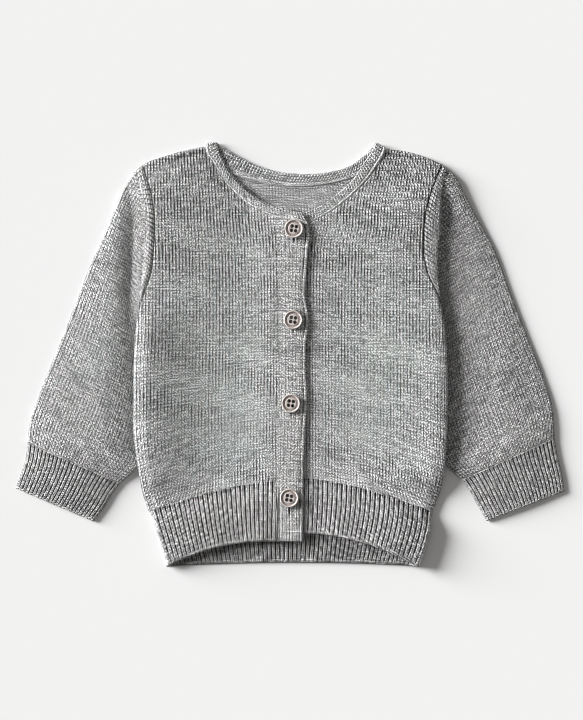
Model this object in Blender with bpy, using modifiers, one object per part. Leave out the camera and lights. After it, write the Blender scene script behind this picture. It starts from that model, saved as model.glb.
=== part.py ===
"""Baby cardigan in knitted cloth, laid flat with its front up.

Frame: X runs across the body, Y from the hem to the neck, Z up from the surface it lies on, and the
origin is the middle of its outline on that surface. Right and left are the wearer's, so the right front
and right sleeve lie at -X. The right front laps over the left one.

Sizes are in millimetres. Each cloth piece is a surface through a few sections, thickened by Solidify.
"""
from collections import namedtuple
import math

import bmesh
import bpy
import numpy as np

MM = 0.001

WALL = 1.6               # plain knit
RIB_WALL = 2.0           # ribbed hem and cuffs
BAND_WALL = 2.0          # button bands
NECK_WALL = 2.2          # neckband, two layers of fine rib
SEAM = 0.3               # distance between two pieces at a seam

LIFT = 4.9               # underside of the body where it lies on a sleeve's inner edge
LIFT_WIDTH = 12.0        # width of the part that lies on the sleeve
LIFT_FADE = 17.0         # from there the body slopes down to the surface
AIR = 1.7                # space between back and front in the middle of a front
AIR_EDGE = 0.35          # the same where the two meet at a side or shoulder
AIR_ARMHOLE = 3.6        # the same along the armhole, over the pleated sleeve

FOLD_R = 1.3             # radius of a sleeve's folded edges, at the middle of its wall
SLEEVE_BELLY = 2.0       # rise of a sleeve between its two edges
CUFF_R = 1.5
CUFF_BELLY = 1.0

UNDER_Z = 3.3            # middle of the wall of the button band that lies under
TOP_Z = 5.7              # middle of the wall of the button band on top

BUTTON_R = 6.25
BUTTON_H = 2.3
BUTTON_TURN = math.radians(-8.7)
BUTTON_HOLE_R = 0.8
BUTTON_HOLE_STEP = 2.85
SLIT_WIDTH = 0.8         # buttonholes
SLIT_LENGTH = 14.0

Row = namedtuple("Row", "side_x side_y centre_x centre_y bow")
Edge = namedtuple("Edge", "x y")
Neck = namedtuple("Neck", "free_x free_y seam_x seam_y z")
Cuff = namedtuple("Cuff", "outer_x outer_y inner_x inner_y")
Band = namedtuple("Band", "y edge_x")
Button = namedtuple("Button", "x y slit_shift")

# Right front, hem seam to shoulder: side seam or armhole, then button band seam or neck seam.
RIGHT_FRONT = [
    Row(-94.6, -105.8, -7.9, -84.3, 3.0),
    Row(-98.2, -95.0, -7.8, -76.0, 2.0),
    Row(-101.6, -76.5, -7.6, -62.0, 0.8),
    Row(-104.4, -56.0, -7.2, -46.0, 0.3),
    Row(-104.9, -30.0, -6.9, -26.0, 0.0),
    Row(-104.5, -6.0, -6.5, -4.0, 0.0),
    Row(-103.2, 15.0, -6.3, 17.0, 0.0),
    Row(-101.2, 27.3, -6.3, 31.0, 0.0),
    Row(-98.0, 39.0, -6.5, 46.0, 0.0),
    Row(-92.8, 54.7, -7.0, 61.0, 0.0),
    Row(-91.1, 70.0, -7.5, 77.0, 0.0),
    Row(-90.4, 84.0, -8.8, 91.4, 0.0),
    Row(-90.5, 92.3, -22.8, 97.3, 0.0),
    Row(-91.6, 101.5, -34.4, 106.0, 0.0),
    Row(-93.5, 111.0, -44.1, 116.0, 0.3),
    Row(-96.2, 119.5, -50.8, 127.4, 0.8),
    Row(-98.5, 126.9, -57.8, 139.2, 1.4),
]
LEFT_FRONT = [
    Row(95.6, -105.8, 8.9, -82.3, 3.0),
    Row(99.6, -95.0, 8.9, -75.0, 2.0),
    Row(103.5, -76.5, 8.9, -62.0, 0.8),
    Row(105.1, -56.0, 9.0, -46.0, 0.3),
    Row(105.7, -30.0, 9.0, -26.0, 0.0),
    Row(105.4, -6.0, 9.1, -4.0, 0.0),
    Row(104.0, 15.0, 9.2, 17.0, 0.0),
    Row(101.8, 27.3, 9.3, 31.0, 0.0),
    Row(99.0, 39.0, 9.5, 46.0, 0.0),
    Row(91.9, 54.7, 9.8, 61.0, 0.0),
    Row(88.9, 70.0, 10.6, 75.0, 0.0),
    Row(89.2, 84.0, 12.8, 87.2, 0.0),
    Row(90.2, 92.3, 26.9, 95.0, 0.0),
    Row(92.3, 101.5, 38.7, 103.7, 0.0),
    Row(95.2, 111.0, 48.8, 113.2, 0.3),
    Row(98.6, 119.5, 57.6, 124.2, 0.8),
    Row(101.8, 126.9, 65.2, 137.4, 1.4),
]
# Columns of a front, as distances in from its side. The others share what is left of its width.
SIDE_COLUMNS = (0.0, 3.0, 7.5, 13.0, 20.0, 29.0)
OTHER_COLUMNS = (0.2, 0.4, 0.6, 0.75, 0.88, 1.0)

# The back's top edge: right shoulder, neck seam, left shoulder.
BACK_TOP = [
    Edge(-98.5, 126.9),
    Edge(-95.3, 127.8),
    Edge(-90.5, 129.6),
    Edge(-84.6, 132.0),
    Edge(-77.5, 134.3),
    Edge(-68.2, 137.0),
    Edge(-57.9, 139.0),
    Edge(-52.0, 129.4),
    Edge(-41.5, 121.2),
    Edge(-26.8, 117.0),
    Edge(-12.2, 113.6),
    Edge(2.3, 112.0),
    Edge(16.8, 112.6),
    Edge(31.4, 115.0),
    Edge(46.0, 119.4),
    Edge(57.9, 127.0),
    Edge(65.4, 137.2),
    Edge(73.6, 136.3),
    Edge(81.4, 134.7),
    Edge(88.2, 132.6),
    Edge(94.0, 130.4),
    Edge(98.9, 128.2),
    Edge(101.8, 126.9),
]
BACK_HEM_Y = -104.8
SHOULDER_LINE = [
    Edge(-98.5, 126.9),
    Edge(-80.4, 133.5),
    Edge(-57.6, 139.2),
    Edge(0.0, 150.0),
    Edge(65.2, 137.4),
    Edge(84.0, 134.0),
    Edge(101.8, 126.9),
]

# Hem ribs, from the seam down: outer side, then the edge at the button band.
RIGHT_HEM = [
    Row(-94.4, -106.2, -7.9, -84.7, 3.0),
    Row(-90.8, -116.5, -8.4, -98.0, 3.4),
    Row(-87.1, -128.0, -8.9, -112.0, 4.2),
    Row(-82.6, -142.6, -9.2, -125.4, 5.2),
]
LEFT_HEM = [
    Row(95.4, -106.2, 8.9, -82.7, 3.0),
    Row(94.0, -117.0, 8.9, -95.0, 3.4),
    Row(90.9, -129.0, 8.8, -107.5, 4.2),
    Row(86.1, -142.4, 8.6, -119.9, 5.4),
]
BACK_HEM = [
    Row(-94.3, -105.1, 95.3, -105.1, 0.0),
    Row(-90.8, -116.5, 94.0, -117.0, 0.4),
    Row(-87.1, -128.0, 90.9, -129.0, 1.2),
    Row(-82.6, -142.2, 86.1, -142.0, 2.6),
]

# The fold in which each sleeve turns down beside the armhole, shoulder to underarm.
RIGHT_FOLD = [
    Edge(-104.6, 122.2),
    Edge(-101.0, 110.0),
    Edge(-98.9, 98.0),
    Edge(-98.4, 84.0),
    Edge(-98.8, 68.0),
    Edge(-99.6, 52.0),
    Edge(-101.6, 38.0),
    Edge(-103.6, 25.6),
]
LEFT_FOLD = [
    Edge(104.9, 124.2),
    Edge(102.4, 110.0),
    Edge(101.4, 97.0),
    Edge(100.6, 82.0),
    Edge(99.4, 68.0),
    Edge(99.4, 54.0),
    Edge(101.6, 39.0),
    Edge(104.2, 25.6),
]
RIGHT_OUTER = [
    Edge(-104.6, 122.2),
    Edge(-112.0, 110.0),
    Edge(-120.4, 90.6),
    Edge(-134.5, 58.1),
    Edge(-146.0, 28.5),
    Edge(-158.2, -1.9),
    Edge(-168.4, -27.3),
    Edge(-174.2, -44.0),
    Edge(-175.9, -58.4),
]
LEFT_OUTER = [
    Edge(104.9, 124.2),
    Edge(110.6, 119.6),
    Edge(117.9, 106.0),
    Edge(126.0, 91.0),
    Edge(136.8, 71.0),
    Edge(147.3, 42.6),
    Edge(159.2, 11.9),
    Edge(169.5, -13.9),
    Edge(176.0, -36.0),
    Edge(177.3, -55.4),
]
RIGHT_INNER = [
    Edge(-103.6, 25.6),
    Edge(-106.2, 17.0),
    Edge(-105.6, 9.0),
    Edge(-99.5, -3.0),
    Edge(-94.8, -20.0),
    Edge(-93.8, -42.0),
    Edge(-96.8, -62.0),
    Edge(-103.0, -77.0),
    Edge(-113.2, -86.1),
]
LEFT_INNER = [
    Edge(104.2, 25.6),
    Edge(107.4, 17.0),
    Edge(106.8, 9.0),
    Edge(100.5, -3.0),
    Edge(95.6, -20.0),
    Edge(94.8, -42.0),
    Edge(97.8, -60.0),
    Edge(104.6, -75.0),
    Edge(114.6, -83.8),
]
# How far along its outer and inner edges each ring of a sleeve lies, from the fold to the cuff.
SLEEVE_RINGS = (0.025, 0.10, 0.19, 0.30, 0.42, 0.55, 0.68, 0.80, 0.91, 1.0)

RIGHT_CUFF = [
    Cuff(-175.9, -58.9, -113.4, -86.6),
    Cuff(-177.2, -69.5, -118.6, -93.0),
    Cuff(-180.4, -79.8, -124.2, -102.4),
    Cuff(-184.0, -89.7, -131.4, -112.2),
]
LEFT_CUFF = [
    Cuff(177.3, -55.9, 114.8, -84.3),
    Cuff(179.4, -68.0, 120.0, -91.6),
    Cuff(182.4, -80.5, 125.6, -101.6),
    Cuff(184.0, -91.8, 131.6, -111.9),
]

# Neckband, from the lapping front's corner up over the right shoulder point, round the back, over the
# left shoulder point and down to the end under the lap.
NECK_RIGHT = [
    Neck(7.2, 96.6, 12.8, 86.2, 5.9),
    Neck(0.4, 97.6, 1.6, 90.4, 5.85),
    Neck(-9.4, 99.0, -8.9, 91.8, 5.5),
    Neck(-19.4, 103.3, -22.6, 97.6, 4.8),
    Neck(-29.6, 111.4, -34.1, 106.3, 4.5),
    Neck(-38.4, 120.1, -43.8, 116.2, 4.4),
    Neck(-44.2, 130.1, -50.4, 127.5, 4.3),
    Neck(-47.6, 137.0, -55.2, 135.4, 4.3),
    Neck(-48.6, 139.9, -56.5, 137.9, 4.3),
]
NECK_BACK = [
    Neck(-48.6, 139.9, -56.5, 137.9, 1.3),
    Neck(-45.6, 139.4, -51.5, 129.9, 1.3),
    Neck(-34.6, 133.4, -41.2, 121.7, 1.3),
    Neck(-22.0, 127.0, -26.6, 117.4, 1.3),
    Neck(-7.4, 123.1, -12.1, 114.0, 1.3),
    Neck(7.6, 121.5, 2.3, 112.4, 1.3),
    Neck(22.4, 121.9, 16.7, 113.0, 1.3),
    Neck(37.0, 125.2, 31.2, 115.4, 1.3),
    Neck(47.6, 131.6, 45.7, 119.9, 1.3),
    Neck(54.4, 138.2, 57.4, 127.5, 1.3),
    Neck(57.6, 139.9, 64.0, 136.2, 1.3),
]
NECK_LEFT = [
    Neck(57.6, 139.9, 64.0, 136.2, 4.3),
    Neck(54.6, 135.6, 62.4, 133.6, 4.3),
    Neck(48.8, 127.2, 57.2, 124.5, 4.3),
    Neck(42.2, 117.1, 48.5, 113.5, 4.3),
    Neck(31.8, 107.4, 38.4, 104.0, 4.1),
    Neck(21.2, 99.7, 26.7, 95.4, 3.7),
    Neck(11.1, 95.3, 12.6, 87.6, 3.2),
    Neck(2.0, 93.4, 3.0, 85.9, 3.1),
    Neck(-7.0, 91.4, -7.4, 83.7, 3.1),
]

# Free edges of the button bands, hem to neck. Their other sides lie along the seams of the fronts.
TOP_BAND = [
    Band(-125.2, 8.7),
    Band(-107.0, 9.1),
    Band(-88.8, 9.2),
    Band(-74.2, 9.5),
    Band(-52.5, 10.3),
    Band(-30.0, 11.7),
    Band(-9.9, 10.8),
    Band(7.5, 11.1),
    Band(23.0, 12.8),
    Band(41.0, 10.4),
    Band(55.3, 11.4),
    Band(69.8, 12.5),
    Band(80.0, 13.4),
]
TOP_BAND_END = [Edge(-8.3, 91.2), Edge(1.8, 89.8), Edge(12.6, 85.7)]
UNDER_BAND = [
    Band(-119.8, -8.6),
    Band(-90.0, -8.4),
    Band(-50.0, -8.0),
    Band(0.0, -7.6),
    Band(40.0, -7.6),
    Band(77.0, -7.6),
]
UNDER_BAND_END = [Edge(12.2, 87.0), Edge(3.0, 85.3), Edge(-7.4, 83.1)]

BUTTONS = [
    Button(2.6, 84.0, 0.0),
    Button(2.1, 23.0, 0.0),
    Button(0.6, -32.9, 0.0),
    Button(-0.5, -96.1, -1.6),
]

GREY = (0.33, 0.33, 0.335, 1.0)
BUTTON_COLOUR = (0.62, 0.57, 0.54, 1.0)


def fade(low, high, value):
    """0 at low, 1 at high, smooth between."""
    t = np.clip((value - low) / (high - low), 0.0, 1.0)
    return t * t * (3.0 - 2.0 * t)


def smooth_line(points, steps):
    """A Catmull-Rom curve through the given points, with steps to each stretch."""
    p = np.array(points, float)
    q = np.vstack([2.0 * p[0] - p[1], p, 2.0 * p[-1] - p[-2]])
    out = []
    for k in range(1, len(q) - 2):
        for j in range(steps):
            t = j / steps
            a = 2.0 * q[k]
            b = q[k + 1] - q[k - 1]
            c = 2.0 * q[k - 1] - 5.0 * q[k] + 4.0 * q[k + 1] - q[k + 2]
            d = 3.0 * q[k] - 3.0 * q[k + 1] + q[k + 2] - q[k - 1]
            out.append(0.5 * (a + b * t + c * t * t + d * t ** 3))
    out.append(p[-1])
    return np.array(out)


def lengths(points):
    """Distance of each point of a line from its start."""
    return np.concatenate([[0.0], np.cumsum(np.linalg.norm(np.diff(points, axis=0), axis=1))])


def resample(points, where):
    """The points of a line at the given shares of its length."""
    p = np.array(points, float)
    run = lengths(p)
    at = np.array(where) * run[-1]
    return np.stack([np.interp(at, run, p[:, k]) for k in range(p.shape[1])], axis=1)


def side_line(front, hem):
    """The outer side of the body as y, x with y rising, from a front's rows and its hem rib's."""
    rows = list(reversed(hem[1:])) + front
    return np.array([r.side_y for r in rows]), np.array([r.side_x for r in rows])


RIGHT_SIDE = side_line(RIGHT_FRONT, RIGHT_HEM)
LEFT_SIDE = side_line(LEFT_FRONT, LEFT_HEM)


def inset(x, y):
    """Distance in from the nearer side of the body."""
    return np.maximum(np.minimum(x - np.interp(y, *RIGHT_SIDE), np.interp(y, *LEFT_SIDE) - x), 0.0)


def shoulder_drop(x, y):
    """Distance down from the shoulder line."""
    return np.interp(x, [p.x for p in SHOULDER_LINE], [p.y for p in SHOULDER_LINE]) - y


def underside(x, y):
    """Height of the back's underside: on the surface, and on the sleeves at its sides."""
    beside = 1.0 - fade(LIFT_WIDTH, LIFT_WIDTH + LIFT_FADE, inset(x, y))
    lengthwise = fade(-98.0, -79.0, y) * (1.0 - fade(13.0, 46.0, y))
    return LIFT * beside * lengthwise


def air(x, y):
    """Space between the back and a front."""
    d = inset(x, y)
    armhole = fade(18.0, 46.0, y) * (1.0 - fade(102.0, 122.0, y))
    gap = AIR + (AIR_ARMHOLE - AIR) * armhole * (1.0 - fade(0.0, 24.0, d))
    closed_side = 1.0 - fade(14.0, 40.0, y)
    gap = AIR_EDGE + (gap - AIR_EDGE) * (1.0 - closed_side * (1.0 - fade(0.0, 9.0, d)))
    gap = gap + 0.35 * (1.0 - fade(-103.0, -95.0, y))
    at_shoulder = AIR_EDGE + 0.7 * (1.0 - fade(0.0, 20.0, d))
    return at_shoulder + (gap - at_shoulder) * fade(0.0, 13.0, shoulder_drop(x, y))


def back_z(x, y):
    return underside(x, y) + 0.5 * WALL


def right_front_z(x, y):
    """The right front climbs onto the lap at its middle edge."""
    lap = TOP_Z - 0.3 - 1.5 * WALL - AIR
    return underside(x, y) + 1.5 * WALL + air(x, y) + lap * (1.0 - fade(2.0, 26.0, -8.0 - x))


def left_front_z(x, y):
    """The left front sinks to the band that lies under."""
    return underside(x, y) + 1.5 * WALL + air(x, y) - 0.75 * (1.0 - fade(0.0, 22.0, x - 9.0))


def hem_air(x, y):
    return AIR_EDGE + 0.9 * fade(0.0, 26.0, inset(x, y))


def back_hem_z(x, y):
    return 0.5 * RIB_WALL + 0.0 * x


def right_hem_z(x, y):
    return 1.5 * RIB_WALL + hem_air(x, y) + 1.5 * (1.0 - fade(0.0, 30.0, -9.0 - x))


def left_hem_z(x, y):
    return 1.5 * RIB_WALL + hem_air(x, y) - 0.8 * (1.0 - fade(0.0, 24.0, x - 9.0))


def material(name, colour, roughness):
    mat = bpy.data.materials.new(name)
    mat.use_nodes = True
    shader = mat.node_tree.nodes["Principled BSDF"]
    shader.inputs["Base Color"].default_value = colour
    shader.inputs["Roughness"].default_value = roughness
    shader.inputs["Metallic"].default_value = 0.0
    mat.diffuse_color = colour
    return mat


def add_object(name, mesh, colour=GREY, roughness=0.95):
    obj = bpy.data.objects.new(name, mesh)
    parts.objects.link(obj)
    mesh.materials.append(material(name + "_material", colour, roughness))
    mesh.shade_smooth()
    return obj


def thicken(obj, wall):
    shell = obj.modifiers.new("wall", "SOLIDIFY")
    shell.thickness = wall * MM
    shell.offset = 0.0
    shell.use_rim = True


def mesh_of(name, bm):
    bmesh.ops.recalc_face_normals(bm, faces=bm.faces)
    mesh = bpy.data.meshes.new(name)
    bm.to_mesh(mesh)
    bm.free()
    return mesh


def sheet(name, x, y, z, wall):
    """A cloth panel over a grid of points, with rows running up the garment."""
    rows, cols = x.shape
    bm = bmesh.new()
    bmesh.ops.create_grid(bm, x_segments=cols - 1, y_segments=rows - 1, size=1.0)
    order = sorted(bm.verts, key=lambda v: (round(v.co.y, 5), round(v.co.x, 5)))
    for vert, place in zip(order, np.stack([x, y, z], axis=2).reshape(-1, 3)):
        vert.co = place * MM
    obj = add_object(name, mesh_of(name, bm))
    thicken(obj, wall)
    return obj


def tube(name, rings, wall):
    """A sleeve or cuff: closed rings of points, open at both ends."""
    bm = bmesh.new()
    loops = [[bm.verts.new(p * MM) for p in ring] for ring in rings]
    count = len(rings[0])
    for one, two in zip(loops, loops[1:]):
        for k in range(count):
            n = (k + 1) % count
            bm.faces.new((one[k], one[n], two[n], two[k]))
    obj = add_object(name, mesh_of(name, bm))
    thicken(obj, wall)
    return obj


def front(name, rows, height):
    """Straight rows from the side to the middle, each bowed upward by its own amount."""
    r = np.array([tuple(row) for row in rows])
    width = np.abs(r[:, 2:3] - r[:, 0:1])
    near = np.array(SIDE_COLUMNS)[None, :] / width
    rest = near[:, -1:] + (1.0 - near[:, -1:]) * np.array(OTHER_COLUMNS)[None, :]
    u = np.hstack([near, rest])
    x = r[:, 0:1] * (1 - u) + r[:, 2:3] * u
    y = r[:, 1:2] * (1 - u) + r[:, 3:4] * u + r[:, 4:5] * 4.0 * u * (1 - u)
    return sheet(name, x, y, height(x, y), WALL)


def back():
    """Columns from the hem seam up to the shoulders and the neck seam."""
    tx = np.array([p.x for p in BACK_TOP])
    ty = np.array([p.y for p in BACK_TOP])
    low = np.interp(ty, *RIGHT_SIDE)
    high = np.interp(ty, *LEFT_SIDE)
    low[0] = tx[0]
    high[-1] = tx[-1]
    u = ((tx - low) / (high - low))[None, :]
    levels = np.array([BACK_HEM_Y] + [r.side_y for r in RIGHT_FRONT[1:]])
    v = ((levels - levels[0]) / (levels[-1] - levels[0]))[:, None]
    y = levels[0] + v * (ty[None, :] - levels[0])
    x = np.interp(y, *RIGHT_SIDE) * (1 - u) + np.interp(y, *LEFT_SIDE) * u
    return sheet("back", x, y, back_z(x, y), WALL)


def hem_rib(name, rows, across, height):
    r = smooth_line([tuple(row) for row in reversed(rows)], 2)
    u = np.linspace(0.0, 1.0, across)[None, :]
    x = r[:, 0:1] * (1 - u) + r[:, 2:3] * u
    y = r[:, 1:2] * (1 - u) + r[:, 3:4] * u + r[:, 4:5] * 4.0 * u * (1 - u)
    return sheet(name, x, y, height(x, y), RIB_WALL)


def flat_ring(line, low, high, radius, wall):
    """A ring of a flattened tube over a line from its outer to its inner edge. low and high are the
    heights of the two walls along that line, and a half round joins them at each edge."""
    def edge(end, next_one, z_low, z_high):
        way = (next_one - end) / np.linalg.norm(next_one - end)
        middle = 0.5 * (z_low + z_high)
        half = 0.5 * (z_high - z_low)
        arc = []
        for turn in (45.0, 90.0, 135.0):
            a = math.radians(turn)
            p = end + way * (radius * (1.0 - math.sin(a)) + 0.5 * wall)
            arc.append((p[0], p[1], middle + half * math.cos(a)))
        return end + way * (radius + 0.5 * wall), arc

    first, outer_arc = edge(line[0], line[1], low[0], high[0])
    last, inner_arc = edge(line[-1], line[-2], low[-1], high[-1])
    flat = np.vstack([first, line[1:-1], last])
    top = [(p[0], p[1], z) for p, z in zip(flat, high)]
    bottom = [(p[0], p[1], z) for p, z in zip(flat, low)]
    return np.array(top + inner_arc + bottom[::-1] + outer_arc[::-1])


def sleeve(name, rows, fold, outer, inner, cuff):
    """Rings from the armhole, over the fold beside it, to the cuff seam."""
    armhole = np.array([(r.side_x, r.side_y) for r in reversed(rows) if r.side_y > 27.0])
    way = math.copysign(1.0, armhole[0, 0])
    share = lengths(armhole) / lengths(armhole)[-1]
    seam = armhole + np.array([way * (SEAM + 0.1), 0.0])
    seam[0] += (0.2 * way, 0.1)
    seam[-1] += (0.35 * way, 0.0)
    fold_line = resample(smooth_line([tuple(p) for p in fold], 4), share)
    cuff_end = np.array([(cuff[0].outer_x, cuff[0].outer_y), (cuff[0].inner_x, cuff[0].inner_y)])
    end_line = resample(cuff_end + np.array([0.0, SEAM + 0.15]), share)
    outer_line = smooth_line([tuple(p) for p in outer], 4)
    inner_line = smooth_line([tuple(p) for p in inner], 4)
    body_low = underside(armhole[:, 0], armhole[:, 1]) + 0.5 * WALL
    body_high = body_low + WALL + air(armhole[:, 0], armhole[:, 1])
    round_edge = 2.0 * FOLD_R

    rings = []
    for t, extra in ((0.0, 0.0), (0.5, 0.4), (1.0, 0.3)):
        line = seam * (1 - t) + fold_line * t
        high = body_high + extra * np.sin(np.pi * share)
        rings.append(flat_ring(line, body_low, np.maximum(high, body_low + round_edge * t), FOLD_R, WALL))
    s = share[:, None]
    corner = (1 - s) * fold_line[0] + s * fold_line[-1]
    far_corner = (1 - s) * end_line[0] + s * end_line[-1]
    for t in SLEEVE_RINGS:
        o = resample(outer_line, [t])[0]
        i = resample(inner_line, [t])[0]
        line = (1 - s) * o + s * i + (1 - t) * (fold_line - corner) + t * (end_line - far_corner)
        run = lengths(line)
        low = 0.5 * WALL + (body_low - 0.5 * WALL) * (1.0 - fade(0.0, 0.12, t))
        belly = SLEEVE_BELLY * fade(2.0, 22.0, run) * fade(20.0, 44.0, run[-1] - run)
        rings.append(flat_ring(line, low, low + round_edge + belly, FOLD_R, WALL))
    return tube(name, rings, WALL)


def cuff_tube(name, rows):
    share = np.linspace(0.0, 1.0, 9)
    rings = []
    for row in smooth_line([tuple(r) for r in rows], 1):
        line = resample([(row[0], row[1]), (row[2], row[3])], share)
        run = lengths(line)
        low = 0.5 * RIB_WALL + 0.0 * run
        belly = CUFF_BELLY * fade(2.0, 18.0, run) * fade(2.0, 18.0, run[-1] - run)
        rings.append(flat_ring(line, low, low + 2.0 * CUFF_R + belly, CUFF_R, RIB_WALL))
    return tube(name, rings, RIB_WALL)


def shoulder_turn(front_end, back_start):
    """Where the neckband goes over a shoulder point: a half turn from front to back."""
    radius = 0.5 * (front_end.z - back_start.z)
    middle = 0.5 * (front_end.z + back_start.z)
    out = []
    for turn in (36.0, 72.0, 108.0, 144.0):
        a = math.radians(turn)
        reach = radius * math.sin(a)
        out.append((front_end.free_x, front_end.free_y + reach, front_end.seam_x, front_end.seam_y + reach,
                    middle + radius * math.cos(a)))
    return np.array(out)


def neckband():
    over_right = shoulder_turn(NECK_RIGHT[-1], NECK_BACK[0])
    over_left = shoulder_turn(NECK_LEFT[0], NECK_BACK[-1])[::-1]
    rows = np.vstack([NECK_RIGHT, over_right, NECK_BACK, over_left, NECK_LEFT])
    w = np.linspace(0.0, 1.0, 3)[None, :]
    x = rows[:, 0:1] * (1 - w) + rows[:, 2:3] * w
    y = rows[:, 1:2] * (1 - w) + rows[:, 3:4] * w
    return sheet("neckband", x, y, rows[:, 4:5] + 0.0 * w, NECK_WALL)


def button_band(name, rows, end, seam_rows, away, z_middle):
    """A band along the seam of its front, whose top end follows the neckband's seam."""
    seam_y = np.array([r.centre_y for r in seam_rows])
    seam_x = np.array([r.centre_x for r in seam_rows]) + away * (SEAM + 0.1)
    levels = sorted({r.y for r in rows} | {y for y in seam_y if rows[0].y < y < end[0].y - 6.0})
    y = np.array(levels)[:, None]
    seam = np.interp(y, seam_y, seam_x)
    edge = np.interp(y, [r.y for r in rows], [r.edge_x for r in rows])
    w = np.linspace(0.0, 1.0, 5)[None, :]
    x = seam * (1 - w) + edge * w
    y = y + 0.0 * w
    top = resample([tuple(e) for e in end], w[0])
    x = np.vstack([x, top[None, :, 0]])
    y = np.vstack([y, top[None, :, 1]])
    return sheet(name, x, y, z_middle + 0.0 * x, BAND_WALL)


def cutter_from(name, pieces):
    """Joins the given objects into one guide, which cuts and isn't part of the cardigan."""
    bpy.context.view_layer.update()
    bm = bmesh.new()
    for piece in pieces:
        mesh = piece.data
        mesh.transform(piece.matrix_world)
        bm.from_mesh(mesh)
        bpy.data.objects.remove(piece)
    mesh = bpy.data.meshes.new(name)
    bm.to_mesh(mesh)
    bm.free()
    obj = bpy.data.objects.new(name, mesh)
    guides.objects.link(obj)
    obj.hide_render = True
    obj.display_type = "WIRE"
    return obj


def cut(obj, cutter):
    mod = obj.modifiers.new("cut", "BOOLEAN")
    mod.operation = "DIFFERENCE"
    mod.solver = "EXACT"
    mod.object = cutter


def buttonholes(band):
    slits = []
    for b in BUTTONS:
        bpy.ops.mesh.primitive_cube_add(
            size=1.0, location=(b.x * MM, (b.y - 1.5 + b.slit_shift) * MM, TOP_Z * MM))
        slit = bpy.context.object
        slit.scale = (SLIT_WIDTH * MM, SLIT_LENGTH * MM, 3.0 * BAND_WALL * MM)
        slits.append(slit)
    cut(band, cutter_from("buttonhole_cutter", slits))


def button(number, b):
    """Turned profile, outer side down: raised middle, sunk ring, rim, flat underside."""
    profile = [
        (0.0, 1.75), (3.4, 1.75), (3.8, 1.45), (5.1, 1.45), (5.45, BUTTON_H), (5.95, BUTTON_H),
        (BUTTON_R, 1.9), (BUTTON_R, 0.9), (5.2, 0.0), (0.0, 0.0),
    ]
    name = f"button_{number}"
    mesh = bpy.data.meshes.new(name)
    mesh.from_pydata([(r * MM, 0.0, z * MM) for r, z in profile],
                     [(k, k + 1) for k in range(len(profile) - 1)], [])
    obj = add_object(name, mesh, BUTTON_COLOUR, 0.35)
    obj.location = (b.x * MM, b.y * MM, (TOP_Z + 0.5 * BAND_WALL + SEAM) * MM)
    screw = obj.modifiers.new("turn", "SCREW")
    screw.axis = "Z"
    screw.steps = 20
    screw.render_steps = 20
    screw.use_merge_vertices = True
    screw.merge_threshold = 0.00001
    pins = []
    for qx in (-0.5, 0.5):
        for qy in (-0.5, 0.5):
            dx = BUTTON_HOLE_STEP * (qx * math.cos(BUTTON_TURN) - qy * math.sin(BUTTON_TURN))
            dy = BUTTON_HOLE_STEP * (qx * math.sin(BUTTON_TURN) + qy * math.cos(BUTTON_TURN))
            bpy.ops.mesh.primitive_cylinder_add(
                vertices=8, radius=BUTTON_HOLE_R * MM, depth=3.0 * BUTTON_H * MM,
                location=((b.x + dx) * MM, (b.y + dy) * MM, obj.location.z + 0.5 * BUTTON_H * MM))
            pins.append(bpy.context.object)
    cut(obj, cutter_from(name + "_hole_cutter", pins))


for old in list(bpy.data.objects):
    bpy.data.objects.remove(old)
parts = bpy.data.collections.new("baby_cardigan")
guides = bpy.data.collections.new("cutters")
bpy.context.scene.collection.children.link(parts)
bpy.context.scene.collection.children.link(guides)

back()
front("front_right", RIGHT_FRONT, right_front_z)
front("front_left", LEFT_FRONT, left_front_z)
hem_rib("hem_rib_back", BACK_HEM, 16, back_hem_z)
hem_rib("hem_rib_right", RIGHT_HEM, 10, right_hem_z)
hem_rib("hem_rib_left", LEFT_HEM, 10, left_hem_z)
sleeve("sleeve_right", RIGHT_FRONT, RIGHT_FOLD, RIGHT_OUTER, RIGHT_INNER, RIGHT_CUFF)
sleeve("sleeve_left", LEFT_FRONT, LEFT_FOLD, LEFT_OUTER, LEFT_INNER, LEFT_CUFF)
cuff_tube("cuff_right", RIGHT_CUFF)
cuff_tube("cuff_left", LEFT_CUFF)
neckband()
button_band(
    "button_band_left", UNDER_BAND, UNDER_BAND_END, LEFT_HEM[:0:-1] + LEFT_FRONT[:12], -1.0, UNDER_Z)
top_band = button_band(
    "button_band_right", TOP_BAND, TOP_BAND_END, RIGHT_HEM[:0:-1] + RIGHT_FRONT[:12], 1.0, TOP_Z)
buttonholes(top_band)
for number, place in enumerate(BUTTONS, 1):
    button(number, place)
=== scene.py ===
"""Looks of a baby cardigan in grey melange knit, laid flat with its front up.

Right and left are the wearer's. Sizes are in millimetres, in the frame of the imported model: X runs
across the body, Y from the hem to the neck, Z up from the surface the cardigan lies on.
"""

import math

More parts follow.
